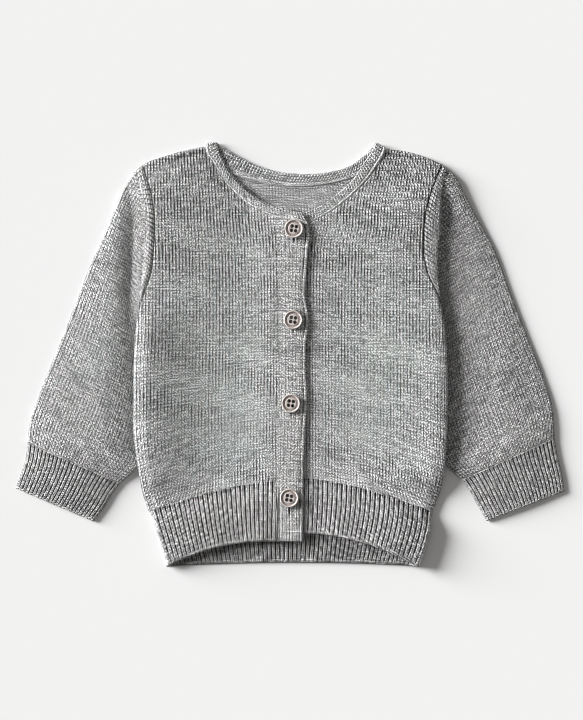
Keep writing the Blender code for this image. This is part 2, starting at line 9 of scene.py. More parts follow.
import bpy
import numpy as np
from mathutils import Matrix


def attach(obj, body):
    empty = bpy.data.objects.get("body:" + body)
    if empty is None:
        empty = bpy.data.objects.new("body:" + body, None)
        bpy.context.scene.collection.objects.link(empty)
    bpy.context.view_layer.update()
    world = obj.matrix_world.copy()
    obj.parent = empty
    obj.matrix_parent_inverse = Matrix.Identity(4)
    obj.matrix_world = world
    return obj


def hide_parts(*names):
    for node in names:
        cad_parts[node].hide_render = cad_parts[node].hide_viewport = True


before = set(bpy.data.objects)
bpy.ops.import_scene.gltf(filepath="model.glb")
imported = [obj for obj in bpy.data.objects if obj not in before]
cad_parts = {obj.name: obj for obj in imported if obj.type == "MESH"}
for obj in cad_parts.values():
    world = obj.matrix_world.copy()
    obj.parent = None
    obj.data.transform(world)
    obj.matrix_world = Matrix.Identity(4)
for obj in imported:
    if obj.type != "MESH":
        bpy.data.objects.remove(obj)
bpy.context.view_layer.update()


# ---- Back ---------------------------------------------------------------------------------------
# One panel of plain knit from the hem's rib to the shoulders and the neck, its purl side inwards, where
# it shows at the neck. It lies on the surface and, at its sides, on the sleeves' inner edges.
MM = 0.001
WALE = 2.1              # width of one column of stitches
COURSE = 2.0            # height of one row of stitches
CLOSE_COURSE = 1.6      # the same in rib and on the purl side
PLAIN_WALL = 1.35       # thickness of plain knit
GREY = 0.435            # lightness of the yarn before its shades, grooves and specks
BACK_WALES = 92
BACK_FACE = 1.45        # the back's inner face above its underside
BACK_RELIEF = 0.16
RIGHT_LIFT = 5.5        # the body's sides lie this high, on the sleeves
LEFT_LIFT = 4.8
BACK_HEM_Y = -104.8
HIGHEST_Y = 142.0       # no top edge of the body is further up
FLOOR_GAP = 0.02        # nothing lies lower
CORNER_THIN = 0.96      # share of its wall that cloth loses in a sharp corner

# Places up the body, with its right and left side there.
BODY_SIDES = np.array([
    (-142.6, -82.6, 86.1),
    (-128.5, -87.0, 91.0),
    (-116.8, -90.7, 94.0),
    (-106.0, -94.5, 95.5),
    (-95.0, -98.2, 99.6),
    (-76.5, -101.6, 103.5),
    (-56.0, -104.4, 105.1),
    (-30.0, -104.9, 105.7),
    (-6.0, -104.5, 105.4),
    (15.0, -103.2, 104.0),
    (27.3, -101.2, 101.8),
    (39.0, -98.0, 99.0),
    (54.7, -92.8, 91.9),
    (70.0, -91.1, 88.9),
    (84.0, -90.4, 89.2),
    (92.3, -90.5, 90.2),
    (101.5, -91.6, 92.3),
    (111.0, -93.5, 95.2),
    (119.5, -96.2, 98.6),
    (126.9, -98.5, 101.8),
])
SHOULDER_RIGHT = [(-98.5, 126.9), (-91.8, 130.1), (-80.4, 133.6), (-70.4, 136.6), (-57.8, 139.0)]
SHOULDER_LEFT = [(65.2, 137.4), (75.0, 136.2), (86.4, 133.4), (94.6, 130.4), (101.8, 126.9)]
BACK_NECK = [
    (-57.8, 139.0), (-52.0, 129.4), (-41.5, 121.2), (-26.8, 117.0), (-12.2, 113.6), (2.3, 112.0),
    (16.8, 112.6), (31.4, 115.0), (46.0, 119.4), (57.9, 127.0), (65.2, 137.4),
]


def fade(low, high, value):
    """0 at low, 1 at high, and smooth between them."""
    t = np.clip((value - low) / (high - low), 0.0, 1.0)
    return t * t * (3.0 - 2.0 * t)


def smooth(at, places, values):
    """Values on a curve through given points. Between two points it is a cubic, and its slope at a point
    is the mean of the slopes to the points on both sides."""
    p, q = np.asarray(places, float), np.asarray(values, float)
    step = np.diff(p)
    rise = np.diff(q) / step
    slope = np.concatenate([rise[:1], 0.5 * (rise[1:] + rise[:-1]), rise[-1:]])
    at = np.clip(at, p[0], p[-1])
    k = np.clip(np.searchsorted(p, at, side="right") - 1, 0, len(step) - 1)
    t = (at - p[k]) / step[k]
    rest = 1.0 - t
    return (q[k] * (1.0 + 2.0 * t) * rest ** 2 + step[k] * slope[k] * t * rest ** 2
            + q[k + 1] * t * t * (3.0 - 2.0 * t) - step[k] * slope[k + 1] * t * t * rest)


def right_side(y):
    return smooth(y, BODY_SIDES[:, 0], BODY_SIDES[:, 1])


def left_side(y):
    return smooth(y, BODY_SIDES[:, 0], BODY_SIDES[:, 2])


def inset(x, y):
    """Distance in from the nearer side of the body."""
    return np.maximum(np.minimum(x - right_side(y), left_side(y) - x), 0.0)


def over_sleeve(y):
    """1 where the sleeves lie below the body's sides, and 0 further up and down."""
    return fade(-98.0, -79.0, y) * (1.0 - fade(13.0, 46.0, y))


def underside(x, y):
    """Height of the body's underside: zero on the surface, and raised where a sleeve lies below."""
    d = inset(x, y)
    return over_sleeve(y) * np.where(x < 0.0, RIGHT_LIFT * (1.0 - fade(5.0, 50.0, d)),
                                     LEFT_LIFT * (1.0 - fade(2.0, 48.0, d)))


def places_between(low, high, count, low_steps, high_steps):
    """Rows of places between two edges: at the given distances from each edge, and evenly between."""
    near = low + np.array(low_steps)[:, None]
    far = high - np.array(high_steps)[:, None]
    t = np.linspace(0.0, 1.0, count)[1:-1, None]
    return np.vstack([near, near[-1:] * (1 - t) + far[:1] * t, far])


def reach_up(line, top, low):
    """For each column, the place up it where it meets the top edge, by halving the stretch from low."""
    low = low + 0.0 * line(low)
    high = HIGHEST_Y + 0.0 * low
    for _ in range(36):
        middle = 0.5 * (low + high)
        below = top(line(middle)) > middle
        low, high = np.where(below, middle, low), np.where(below, high, middle)
    return low


def raised(points, height, ring=False):
    """The grid of points moved out along its normals, which are the cross products of its differences
    across and along."""
    if ring:
        across = np.roll(points, -1, 1) - np.roll(points, 1, 1)
    else:
        across = np.gradient(points, axis=1)
    normal = np.cross(across, np.gradient(points, axis=0))
    size = np.linalg.norm(normal, axis=2, keepdims=True)
    return points + height[:, :, None] * normal / np.maximum(size, 1e-9)


def wales(across, width=WALE):
    """Height of plain knit between 0 in the grooves between wales and 1 on their crests."""
    return 0.5 - 0.5 * np.cos(2.0 * np.pi * across / width)


CORNERS = [(slice(None, -1), slice(None, -1)), (slice(None, -1), slice(1, None)),
           (slice(1, None), slice(1, None)), (slice(1, None), slice(None, -1))]


def at_corners(grid):
    """The grid's values at the four corners of each of its cells, in order round it."""
    return np.stack([grid[corner] for corner in CORNERS], axis=2)


def new_object(name, data):
    """An object that is linked to the scene."""
    made = bpy.data.objects.new(name, data)
    bpy.context.scene.collection.objects.link(made)
    return made


def apply_modifiers(piece):
    """Gives the piece the mesh that its modifiers make, and takes them off."""
    bpy.context.view_layer.update()
    done = piece.evaluated_get(bpy.context.evaluated_depsgraph_get())
    mesh = bpy.data.meshes.new_from_object(done)
    piece.modifiers.clear()
    piece.data = mesh
    return mesh


def vertex_places(mesh):
    """The mesh's vertices, each a row of x, y and z."""
    place = np.zeros(3 * len(mesh.vertices), np.float32)
    mesh.vertices.foreach_get("co", place)
    return place.reshape(-1, 3)


def cloth(name, points, across, along, groove, wall, material, ring=False, thin=None):
    """A cloth piece: a quad for each four neighbours of the grid of points, its cloth coordinates as a
    UV map, the strength of its grooves as an attribute, and its wall put on inwards. Where thin is true,
    in a sharp corner, the wall is next to nothing. Nothing goes below the surface it lies on."""
    rows, columns = points.shape[:2]
    index = np.arange(rows * columns).reshape(rows, columns)
    uv = np.stack([np.broadcast_to(part, index.shape) for part in (across, along)], axis=2)
    if ring:
        index = np.hstack([index, index[:, :1]])
        uv = np.hstack([uv, uv[:, -1:] + (uv[:, -1:] - uv[:, -2:-1])])
    quads = at_corners(index).reshape(-1)
    mesh = bpy.data.meshes.new(name)
    mesh.vertices.add(rows * columns)
    mesh.vertices.foreach_set("co", (points * MM).astype(np.float32).ravel())
    mesh.loops.add(len(quads))
    mesh.polygons.add(len(quads) // 4)
    mesh.polygons.foreach_set("loop_start", np.arange(0, len(quads), 4, dtype=np.int32))
    mesh.loops.foreach_set("vertex_index", quads.astype(np.int32))
    spread = at_corners(uv).reshape(-1, 2) * MM
    mesh.uv_layers.new(name="cloth").uv.foreach_set("vector", spread.astype(np.float32).ravel())
    strength = np.broadcast_to(groove, (rows, columns)).astype(np.float32).ravel()
    mesh.attributes.new("groove", "FLOAT", "POINT").data.foreach_set("value", strength)
    mesh.update(calc_edges=True)
    mesh.shade_smooth()
    mesh.materials.append(material)
    piece = new_object(name, mesh)
    shell = piece.modifiers.new("wall", "SOLIDIFY")
    shell.thickness = wall * MM
    shell.offset = -1.0
    if thin is not None:
        corner = piece.vertex_groups.new(name="corner")
        corner.add(np.flatnonzero(thin).tolist(), CORNER_THIN, "REPLACE")
        shell.vertex_group = "corner"
        shell.invert_vertex_group = True
    walled = apply_modifiers(piece)
    place = vertex_places(walled)
    place[:, 2] = np.maximum(place[:, 2], FLOOR_GAP * MM)
    walled.vertices.foreach_set("co", place.ravel())
    walled.update()
    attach(piece, "root")
    return piece


def put(tree, kind, inputs=(), **settings):
    """A node with the given settings, and a value or a socket for each of its inputs by name or number."""
    made = tree.nodes.new(kind)
    for key, value in settings.items():
        setattr(made, key, value)
    for key, value in dict(inputs).items():
        if isinstance(value, bpy.types.NodeSocket):
            tree.links.new(value, made.inputs[key])
        else:
            made.inputs[key].default_value = value
    return made


def work(tree, operation, *values):
    """A Math node on the given values or sockets."""
    return put(tree, "ShaderNodeMath", enumerate(values), operation=operation).outputs[0]


def product(tree, *factors):
    """The product of the given values or sockets."""
    total = factors[0]
    for factor in factors[1:]:
        total = work(tree, "MULTIPLY", total, factor)
    return total


def scaled(tree, value, slope, level):
    """The value times a slope, plus a level."""
    return work(tree, "ADD", work(tree, "MULTIPLY", value, slope), level)


def new_group(name, inputs, outputs):
    """A node group with the given inputs, each a name and a kind, and the given outputs, all numbers."""
    tree = bpy.data.node_groups.new(name, "ShaderNodeTree")
    for socket, kind in inputs:
        tree.interface.new_socket(socket, in_out="INPUT", socket_type="NodeSocket" + kind)
    for socket in outputs:
        tree.interface.new_socket(socket, in_out="OUTPUT", socket_type="NodeSocketFloat")
    return tree, tree.nodes.new("NodeGroupInput").outputs, tree.nodes.new("NodeGroupOutput").inputs


def new_material(name):
    """A material with its node tree and its shader."""
    mat = bpy.data.materials.new(name)
    mat.use_nodes = True
    return mat, mat.node_tree, mat.node_tree.nodes["Principled BSDF"]


LEG_SLOPE = 1.2         # a leg of a stitch rises this many courses for each wale it crosses


def stitches_group():
    """Plain knit drawn from the cloth coordinates. Each wale is a column of V shapes: two legs that rise
    outwards. Strand is 1 along the middle of a leg and 0 between legs. Leg is 0 between the two legs of
    a V and between wales. Groove is 1 midway between two wales. Shade is a chance value from 0 to 1 for
    each leg, and Gap is one for each gap in the groove between two wales."""
    tree, given, out = new_group("stitches", (("Cloth", "Vector"), ("Wale", "Float"), ("Course", "Float")),
                                 ("Strand", "Leg", "Groove", "Shade", "Gap"))

    def chance(*cell):
        at = put(tree, "ShaderNodeCombineXYZ", enumerate(cell)).outputs[0]
        return put(tree, "ShaderNodeTexWhiteNoise", {"Vector": at}, noise_dimensions="3D").outputs["Value"]

    place = put(tree, "ShaderNodeSeparateXYZ", {0: given["Cloth"]}).outputs
    u = work(tree, "DIVIDE", place[0], given["Wale"])
    v = work(tree, "DIVIDE", place[1], given["Course"])
    from_middle = work(tree, "ABSOLUTE", work(tree, "SUBTRACT", work(tree, "FRACT", u), 0.5))
    rise = work(tree, "SUBTRACT", v, work(tree, "MULTIPLY", from_middle, LEG_SLOPE))
    row = work(tree, "FLOOR", rise)
    strand = work(tree, "MULTIPLY", work(tree, "PINGPONG", rise, 0.5), 2.0)
    off_leg = work(tree, "ABSOLUTE", work(tree, "SUBTRACT", work(tree, "MULTIPLY", from_middle, 4.0), 1.0))
    leg = work(tree, "MAXIMUM", work(tree, "SUBTRACT", 1.0, off_leg), 0.0)
    for name, value in (("Strand", work(tree, "POWER", strand, 0.6)),
                        ("Leg", work(tree, "POWER", leg, 0.5)),
                        ("Groove", work(tree, "POWER", work(tree, "MULTIPLY", from_middle, 2.0), 1.8)),
                        ("Shade", chance(work(tree, "FLOOR", work(tree, "MULTIPLY", u, 2.0)), row)),
                        ("Gap", chance(work(tree, "ROUND", u), row, 7.0))):
        tree.links.new(value, out[name])
    return tree


# Layers of the yarn's shades: length along a course, height across courses, slant in degrees, share.
MELANGE = ((6.0, 0.9, 4.0, 2.2), (20.0, 2.2, 8.0, 1.1), (34.0, 18.0, 20.0, 0.15), (0.75, 0.75, 33.0, 4.5))


def melange_group():
    """Shades of yarn spun from light and dark fibres: streaks along the courses, some short and some
    long, soft clouds and fine flecks. Tone is 2.4 to the power of the layers' sum times Strength, so it
    is about 1 on average."""
    tree, given, out = new_group("melange", (("Cloth", "Vector"), ("Strength", "Float")), ("Tone",))
    total = 0.0
    for length, high, slant, share in MELANGE:
        turned = put(tree, "ShaderNodeVectorRotate", {
            "Vector": given["Cloth"], "Angle": math.radians(slant)}, rotation_type="Z_AXIS")
        shrunk = put(tree, "ShaderNodeVectorMath", {
            0: turned.outputs[0], 1: (1000.0 / length, 1000.0 / high, 1.0)}, operation="MULTIPLY")
        noise = put(tree, "ShaderNodeTexNoise", {
            "Vector": shrunk.outputs[0], "Scale": 1.0, "Detail": 1.0}, noise_dimensions="2D")
        part = work(tree, "MULTIPLY", work(tree, "SUBTRACT", noise.outputs[0], 0.5), share)
        total = work(tree, "ADD", total, part)
    tone = work(tree, "POWER", 2.4, work(tree, "MULTIPLY", total, given["Strength"]))
    tree.links.new(tone, out["Tone"])
    return tree


stitches = stitches_group()
melange = melange_group()


def knit(name, grey, wale, course, dark, relief, speck, loose=1.0, plain=True, streaks=1.0):
    """Knitted cloth: the yarn's grey times its melange tone, the shade of each stitch's leg, the dark
    gaps between strands, and the dark of a groove. In loose knit a groove is a row of gaps, each as dark
    as chance has it, and in firm knit it is dark all along. Plain knit has a groove between each two
    wales, as strong as the cloth's attribute says, and where that is over 1 the cloth is dark all over.
    The stitches are a bump."""
    mat, tree, shader = new_material(name)
    place = put(tree, "ShaderNodeUVMap", uv_map="cloth").outputs[0]
    stitch = put(tree, "ShaderNodeGroup", {"Cloth": place, "Wale": wale * MM, "Course": course * MM},
                 node_tree=stitches).outputs
    tone = put(tree, "ShaderNodeGroup", {"Cloth": place, "Strength": streaks}, node_tree=melange).outputs[0]
    groove = put(tree, "ShaderNodeAttribute", attribute_name="groove").outputs["Fac"]
    if plain:
        over = work(tree, "MAXIMUM", work(tree, "SUBTRACT", groove, 1.0), 0.0)
        groove = work(tree, "ADD", work(tree, "MULTIPLY", groove, stitch["Groove"]), over)
    deep = product(tree, groove, dark, scaled(tree, stitch["Strand"], -0.8 * loose, 1.0),
                   scaled(tree, stitch["Gap"], 1.6 * loose, 1.0 - 0.8 * loose))
    value = product(tree, tone, grey, work(tree, "SUBTRACT", 1.0, deep),
                    scaled(tree, stitch["Strand"], 0.85, 0.4), scaled(tree, stitch["Leg"], 0.3, 0.8),
                    work(tree, "POWER", speck, work(tree, "SUBTRACT", stitch["Shade"], 0.5)))
    value = work(tree, "MINIMUM", work(tree, "MAXIMUM", value, 0.02), 0.85)
    colour = put(tree, "ShaderNodeCombineColor", {0: value, 1: value, 2: value})
    tree.links.new(colour.outputs[0], shader.inputs["Base Color"])
    height = work(tree, "ADD", stitch["Strand"], stitch["Leg"])
    bump = put(tree, "ShaderNodeBump", {"Strength": 1.0, "Distance": 0.5 * relief * MM, "Height": height})
    tree.links.new(bump.outputs[0], shader.inputs["Normal"])
    shader.inputs["Roughness"].default_value = 0.92
    shader.inputs["Specular IOR Level"].default_value = 0.2
    shader.inputs["Sheen Weight"].default_value = 0.2
    shader.inputs["Sheen Roughness"].default_value = 0.5
    return mat


def back_top(x):
    """Height up the body of the back's top edge: the right shoulder, the neck seam, the left shoulder."""
    right, neck, left = [smooth(x, *zip(*edge)) for edge in (SHOULDER_RIGHT, BACK_NECK, SHOULDER_LEFT)]
    return np.where(x < BACK_NECK[0][0], right, np.where(x > BACK_NECK[-1][0], left, neck))


def back(material):
    """Columns share the body's width evenly at each height, and rows run from the hem seam to the top."""
    share = np.linspace(0.0, 1.0, 4 * BACK_WALES + 1)

    def line(y):
        return right_side(y) * (1 - share) + left_side(y) * share

    end = reach_up(line, back_top, 100.0)
    y = places_between(BACK_HEM_Y + 0.0 * share, end, 58, (0.0, 1.5), (1.5, 0.5, 0.0))
    x = line(y)
    across = share[None, :] * BACK_WALES * WALE
    points = raised(np.stack([x, y, underside(x, y) + BACK_FACE], axis=2),
                    BACK_RELIEF * (wales(across) + 0.0 * y - 0.5))
    return cloth("back_panel", points, across, y, 0.3, PLAIN_WALL, material)


# The back's inside is painted darker than the outer knit: painted shade inside the neck opening.
piece = back(knit("inside_shaded_knit", GREY * 0.78, WALE, CLOSE_COURSE, dark=0.9, relief=0.35, speck=1.8))
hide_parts("back")


# ---- Fronts -------------------------------------------------------------------------------------
# Two panels of plain knit. Their wales fan outwards to the shoulders, and end along the neck seam. The
# left one's outermost wale is a raised chain along the armhole. Below it both sides round over.
ARMHOLE_Y = 27.3
FRONT_WALES = 44
FRONT_WIDTH = 92.0      # mean width of a front
LEAN_Y = (88.0, 150.0)  # the wales lean outwards between these heights
LAP_CLIMB = 1.6         # how far the right front climbs to its band
STRAIGHT_Y = 12.0       # the sides count as straight from here up, for the places of the wales
SIDE_SPACE = 0.35       # space between back and front at the sides and shoulders
SPACE = 1.7             # and elsewhere
RIGHT_ARMHOLE_SPACE = 0.5   # more along the armholes
LEFT_ARMHOLE_SPACE = 2.5
# y, x of the band seam.
RIGHT_CENTRE = [(-90.0, -7.9), (-46.0, -7.2), (-4.0, -6.5), (46.0, -6.5), (77.0, -7.5), (91.4, -8.8)]
LEFT_CENTRE = [(-90.0, 8.9), (-26.0, 9.0), (31.0, 9.3), (61.0, 9.8), (75.0, 10.6), (87.2, 12.8)]
RIGHT_NECK = [(-57.8, 139.0), (-50.8, 127.4), (-44.1, 116.0), (-34.4, 106.0), (-22.8, 97.3), (-6.0, 90.6)]
LEFT_NECK = [(9.0, 86.0), (26.9, 95.0), (38.7, 103.7), (48.8, 113.2), (57.6, 124.2), (65.2, 137.4)]
SHOULDER_LINE = [(-98.5, 126.9), (-80.4, 133.5), (-57.6, 139.2), (0.0, 150.0), (65.2, 137.4),
                 (84.0, 134.0), (101.8, 126.9)]


def air(x, y):
    """Space between back and front: most along the armholes, where the sleeve's pleat lies below, and
    little at the sides and shoulders. The left front runs straight from its raised side to its band, over
    the back's own dip."""
    d = inset(x, y)
    right = x < 0.0
    armhole = fade(18.0, 46.0, y) * (1.0 - fade(102.0, 122.0, y))
    beside = 1.0 - fade(4.0, np.where(right, 44.0, 70.0), d)
    gap = SPACE + np.where(right, RIGHT_ARMHOLE_SPACE, LEFT_ARMHOLE_SPACE) * armhole * beside
    at_side = (1.0 - fade(14.0, 40.0, y)) * (1.0 - fade(0.0, 9.0, d))
    gap = SIDE_SPACE + (gap - SIDE_SPACE) * (1.0 - at_side)
    straight = np.clip((90.0 - d) / 88.0, 0.0, 1.0) ** 1.4 - (1.0 - fade(2.0, 48.0, d))
    gap = gap + np.where(right, 0.0, LEFT_LIFT * straight) * over_sleeve(y)
    at_shoulder = SIDE_SPACE + 0.7 * (1.0 - fade(0.0, 20.0, d))
    shoulder_drop = np.interp(x, *zip(*SHOULDER_LINE)) - y
    return at_shoulder + (gap - at_shoulder) * fade(0.0, 13.0, shoulder_drop)


def front_height(x, y, way):
    """Outer surface of a front. The right one (way -1) climbs onto the lap at its middle edge, and the
    left one sinks to the band that lies under."""
    level = underside(x, y) + 3.2 + air(x, y)
    if way < 0:
        return level + LAP_CLIMB * (1.0 - fade(2.0, 26.0, -8.0 - x))
    return level - 0.2 * (1.0 - fade(0.0, 22.0, x - 9.0))


def round_in(distance, radius):
    """Share of its full height that a surface has at a distance from its edge, when it rounds off there
    as a quarter circle."""
    return np.sqrt(1.0 - np.clip(1.0 - distance / radius, 0.0, 1.0) ** 2)


def edge_drop(distance, radius):
    """How far such a surface has sunk."""
    return radius * (1.0 - round_in(distance, radius))


def ridge(distance, width):
    """1 at distance zero, and falling to 0 on both sides as a bell."""
    return np.exp(-(distance / width) ** 2)


def turned_over(*grids):
    """The grids with their columns in reverse order, so that the faces on them point the other way."""
    return [grid[::-1] if grid.ndim == 1 else grid[:, ::-1] for grid in grids]


def front(name, way, side, centre, neck, shoulder, hem, fan, material):
    """Columns run from the centre edge (share 0) to the side (share 1). A column's place across is that
    of the first wale, plus the mean width times its share, and what the side is off by times the share
    squared."""
    share = np.linspace(0.0, 1.0, 5 * FRONT_WALES + 1)
    side_y, centre_y, bow = hem
    corner = neck[0][0] if way < 0 else neck[-1][0]

    def first(y):
        """Place of the first wale: the centre line, and the lean of each column near the shoulder."""
        return way * smooth(y, *zip(*centre)) + fan * fade(*LEAN_Y, y) * (1.0 - (1.0 - share) ** 3)

    def line(y):
        begin = first(y)
        return way * (begin + FRONT_WIDTH * share + (way * side(y) - begin - FRONT_WIDTH) * share ** 2)

    def top(x):
        return np.where(way * (x - corner) > 0.0, smooth(x, *zip(*shoulder)), smooth(x, *zip(*neck)))

    start = (1.0 - share) * centre_y + share * side_y + 4.0 * bow * share * (1.0 - share)
    end = reach_up(line, top, 70.0)
    end[-1] = BODY_SIDES[-1, 0]
    y = places_between(start, end, 78, (0.0, 0.5, 1.2, 2.4), (3.0, 2.0, 1.2, 0.6, 0.25, 0.0))
    x = line(y)
    d = way * (side(y) - x)
    from_end = end[None, :] - y
    armhole = fade(ARMHOLE_Y - 6.0, ARMHOLE_Y + 4.0, y)
    on_shoulder = fade(-3.0, 3.0, way * (x - corner))
    at_neck = 1.0 - on_shoulder
    z = front_height(x, y, way) - edge_drop(d, 2.3 - 1.3 * armhole)
    if way < 0:
        # The lapping front sinks to the neckband.
        z = z - 1.05 * (1.0 - fade(0.0, 20.0, from_end)) * at_neck * fade(-3.0, -24.0, x)
    end_round = (0.35 if way < 0 else 0.9) * at_neck + 1.8 * on_shoulder
    z = z - edge_drop(from_end * (0.7 + 0.25 * on_shoulder), end_round)
    # The shoulder's seam lies a little in front of the fold, most at the armhole.
    seam = ridge(from_end - 2.0 - 2.2 * share[None, :], 0.6) * on_shoulder
    chain = ridge(d, 2.4) * armhole * (way > 0)
    # The wales run on upwards at the armhole, which cuts them off: each place is counted on the width
    # that the panel would have with a straight side.
    begin = first(y)
    curve = way * side(np.minimum(y, STRAIGHT_Y)) - begin - FRONT_WIDTH
    past = way * x - begin
    across = 2.0 * past / (FRONT_WIDTH + np.sqrt(np.maximum(FRONT_WIDTH ** 2 + 4.0 * curve * past, 1.0)))
    across = across * FRONT_WALES * WALE
    crest = wales(across)
    # Grooves are clear on the chest, and broken and faint in patches lower down.
    low, chest = fade(-92.0, -60.0, y), fade(-20.0, 75.0, y)
    patch = np.sin(0.11 * x + 0.05 * y + 1.0) * np.sin(0.07 * y - 0.04 * x) + np.sin(0.19 * y + 0.06 * x)
    groove = 0.42 + 0.1 * low + 0.22 * chest + 0.1 * fade(85.0, 120.0, y) + 0.16 * patch
    groove = np.clip(groove, 0.15, 1.0)
    rim = 0.5 * (1.0 - fade(0.4, 2.8, d)) * (1.0 - armhole) * (way < 0)
    relief = 0.04 + 0.1 * low + 0.08 * fade(-40.0, 60.0, y)
    points = np.stack([x, y, z], axis=2)
    if way < 0:
        points, across, crest, rim = turned_over(points, across, crest, rim)
        seam, chain, groove, start = turned_over(seam, chain, groove, start)
    points = raised(points, (relief + 0.7 * chain) * (crest - 0.5) - 0.45 * seam)
    y = points[:, :, 1]
    along = y - (start + 95.0)[None, :] * (1.0 - fade(-95.0, 20.0, y))
    return cloth(name, points, across, along, groove + 0.6 * seam + rim, PLAIN_WALL, material)


plain_knit = knit("plain_knit", GREY * 1.07, WALE, COURSE, dark=2.1, relief=0.6, speck=1.5, loose=0.75)
piece = front("right_front", -1, right_side, RIGHT_CENTRE, RIGHT_NECK, SHOULDER_RIGHT,
              (-105.8, -84.3, 3.0), 5.0, plain_knit)
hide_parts("front_right")
piece = front("left_front", 1, left_side, LEFT_CENTRE, LEFT_NECK, SHOULDER_LEFT,
              (-105.8, -82.3, 3.0), 13.0, plain_knit)
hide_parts("front_left")


# ---- Hem ribs -----------------------------------------------------------------------------------
# A deep welt below each front and the back, knitted as two wales up and one back, so that narrow dark
# grooves part the ribs. They fan in from the wide seam to the drawn-in edge, which rounds over.
RIB = 3.1
RIB_WALL = 1.5
RIB_DEPTH = 0.26
RIB_MIDDLE = 0.75       # mean height of a rib's form
# Share of a rib's width, with the height there.
RIB_FORM = [(0.0, 0.0), (0.09, 0.15), (0.17, 0.9), (0.31, 1.0), (0.5, 0.7), (0.69, 1.0), (0.83, 0.9),
            (0.91, 0.15), (1.0, 0.0)]
# Sections from the seam down: side x, y, then band edge x, y, and how far the line between them bows up.
RIGHT_HEM = [(-94.4, -105.0, -7.9, -83.5, 3.0), (-90.8, -116.5, -8.4, -98.0, 3.4),
             (-87.1, -128.0, -8.9, -112.0, 4.2), (-82.6, -142.6, -9.2, -125.4, 5.2)]
LEFT_HEM = [(95.4, -105.0, 8.9, -81.5, 3.0), (94.0, -117.0, 8.9, -95.0, 3.4),
            (90.9, -129.0, 8.8, -107.5, 4.2), (86.1, -142.4, 8.6, -119.9, 5.4)]
BACK_HEM = [(-94.3, -105.1, 95.3, -105.1, 0.0), (-90.8, -116.5, 94.0, -117.0, 0.4),
            (-87.1, -128.0, 90.9, -129.0, 1.2), (-82.6, -142.2, 86.1, -142.0, 2.6)]
rib_knit = knit("rib_knit", GREY * 0.99, RIB / 2, CLOSE_COURSE, dark=2.0, relief=0.38, speck=3.0,
                loose=0.62, plain=False, streaks=0.75)


def sections(rows, v):
    """Each column of a table of sections, smooth between them, at shares v of the way down them."""
    at = v * (len(rows) - 1)
    return [smooth(at, np.arange(len(rows)), column)[:, None] for column in zip(*rows)]


def rib_places(count):
    """Places across count ribs, in ribs: the nine of each rib's form, the last shared with the next."""
    within = np.array([p[0] for p in RIB_FORM[:-1]])
    return np.append((np.arange(count)[:, None] + within[None, :]).ravel(), count)


def rib_height(ribs):
    """Height of the ribs at places counted in ribs."""
    return np.interp(ribs % 1.0, *zip(*RIB_FORM))


def rib_ends(crest, from_top, from_end, chain_width, chain_share):
    """The ribs' height, with grooves that open from a deep point just below the seam, and close at the
    edge's own chain."""
    shallow = 1.0 - fade(0.2, 1.2, from_top)
    chain = 1.0 - fade(chain_width, chain_width + 1.0, from_end)
    start = ridge(from_top - 2.0, 1.1)
    return crest + (1.0 - crest) * (np.maximum(shallow * 0.9, chain * chain_share) - 1.1 * start)


def length_down(points):
    """Length along each column of a grid of points, from its first row."""
    steps = np.linalg.norm(np.diff(points, axis=0), axis=2)
    return np.vstack([0.0 * steps[:1], np.cumsum(steps, axis=0)])


def welt(name, rows, ribs, margins, height, above, painted_shade=0.0):
    """Each column runs straight from the seam to the lower edge, at a fixed share of the width. Rows are
    a smooth line through the given sections. The first meet the cloth above, and the last ones round
    over the lower edge."""
    v = np.concatenate([[0.0, 0.012, 0.03, 0.05, 0.075], np.linspace(0.1, 0.93, 12),
                        [0.955, 0.975, 0.989, 0.997, 1.0]])
    side_x, side_y, mid_x, mid_y, bow = sections(rows, v)
    width = abs(rows[0][2] - rows[0][0])
    first, last = margins
    ribbed_width = width - first - last
    places = rib_places(ribs)
    edge = np.linspace(0.0, 1.0, 5)[:-1]
    across = np.concatenate([edge * first, first + places / ribs * ribbed_width,
                             width - (edge * last)[::-1]])
    ribbed = np.concatenate([0.0 * edge + 1.0, rib_height(places), 0.0 * edge + 1.0])
    u = (across / width)[None, :]
    x = side_x * (1 - u) + mid_x * u
    y = side_y * (1 - u) + mid_y * u + bow * 4.0 * u * (1 - u)
    length = np.abs(side_y[0] - side_y[-1])[0]
    from_top, from_end = (v * length)[:, None], ((1.0 - v) * length)[:, None]
    z = height(x, y) - edge_drop(from_end, 1.3)
    z = z + (above(x[:1], y[:1]) - 0.12 - z[:1]) * (1.0 - fade(0.0, 14.0, from_top))
    z = z - edge_drop(across[None, :] * np.abs(mid_x - side_x) / width, 1.9)
    crest = rib_ends(ribbed[None, :] + 0.0 * y, from_top, from_end, 1.6, 0.75)[::-1]
    points = np.stack([x, y, z], axis=2)[::-1]
    if side_x[0] > mid_x[0]:
        points, crest, across = turned_over(points, crest, across)
    points = raised(points, RIB_DEPTH * (crest - RIB_MIDDLE))
    grain = (across - first) / (ribbed_width / ribs) * RIB
    rim = 0.3 * (1.0 - fade(0.4, 1.6, from_end))[::-1]
    # The extra darkening all over the rib is painted shade.
    return cloth(name, points, grain[None, :], length_down(points), 1.0 - crest + painted_shade + rim, RIB_WALL,
                 rib_knit)


def hem_air(x, y):
    """Space between the back's rib and a front's, on top of the walls."""
    return SIDE_SPACE + 0.9 * fade(0.0, 26.0, inset(x, y))


def back_hem_height(x, y):
    return 1.8 + np.where(x < 0.0, 0.0, 2.8) * (1.0 - fade(0.0, 9.0, inset(x, y)))


def right_hem_height(x, y):
    return 5.6 + hem_air(x, y) + 0.2 * (1.0 - fade(0.0, 30.0, -9.0 - x))


def left_hem_height(x, y):
    """The left rib stands off the back near its side, and sinks to the band that lies under."""
    side, band_side = 1.0 - fade(12.0, 60.0, inset(x, y)), 1.0 - fade(0.0, 30.0, x - 9.0)
    return 5.6 + hem_air(x, y) - 1.6 * band_side + 2.2 * side


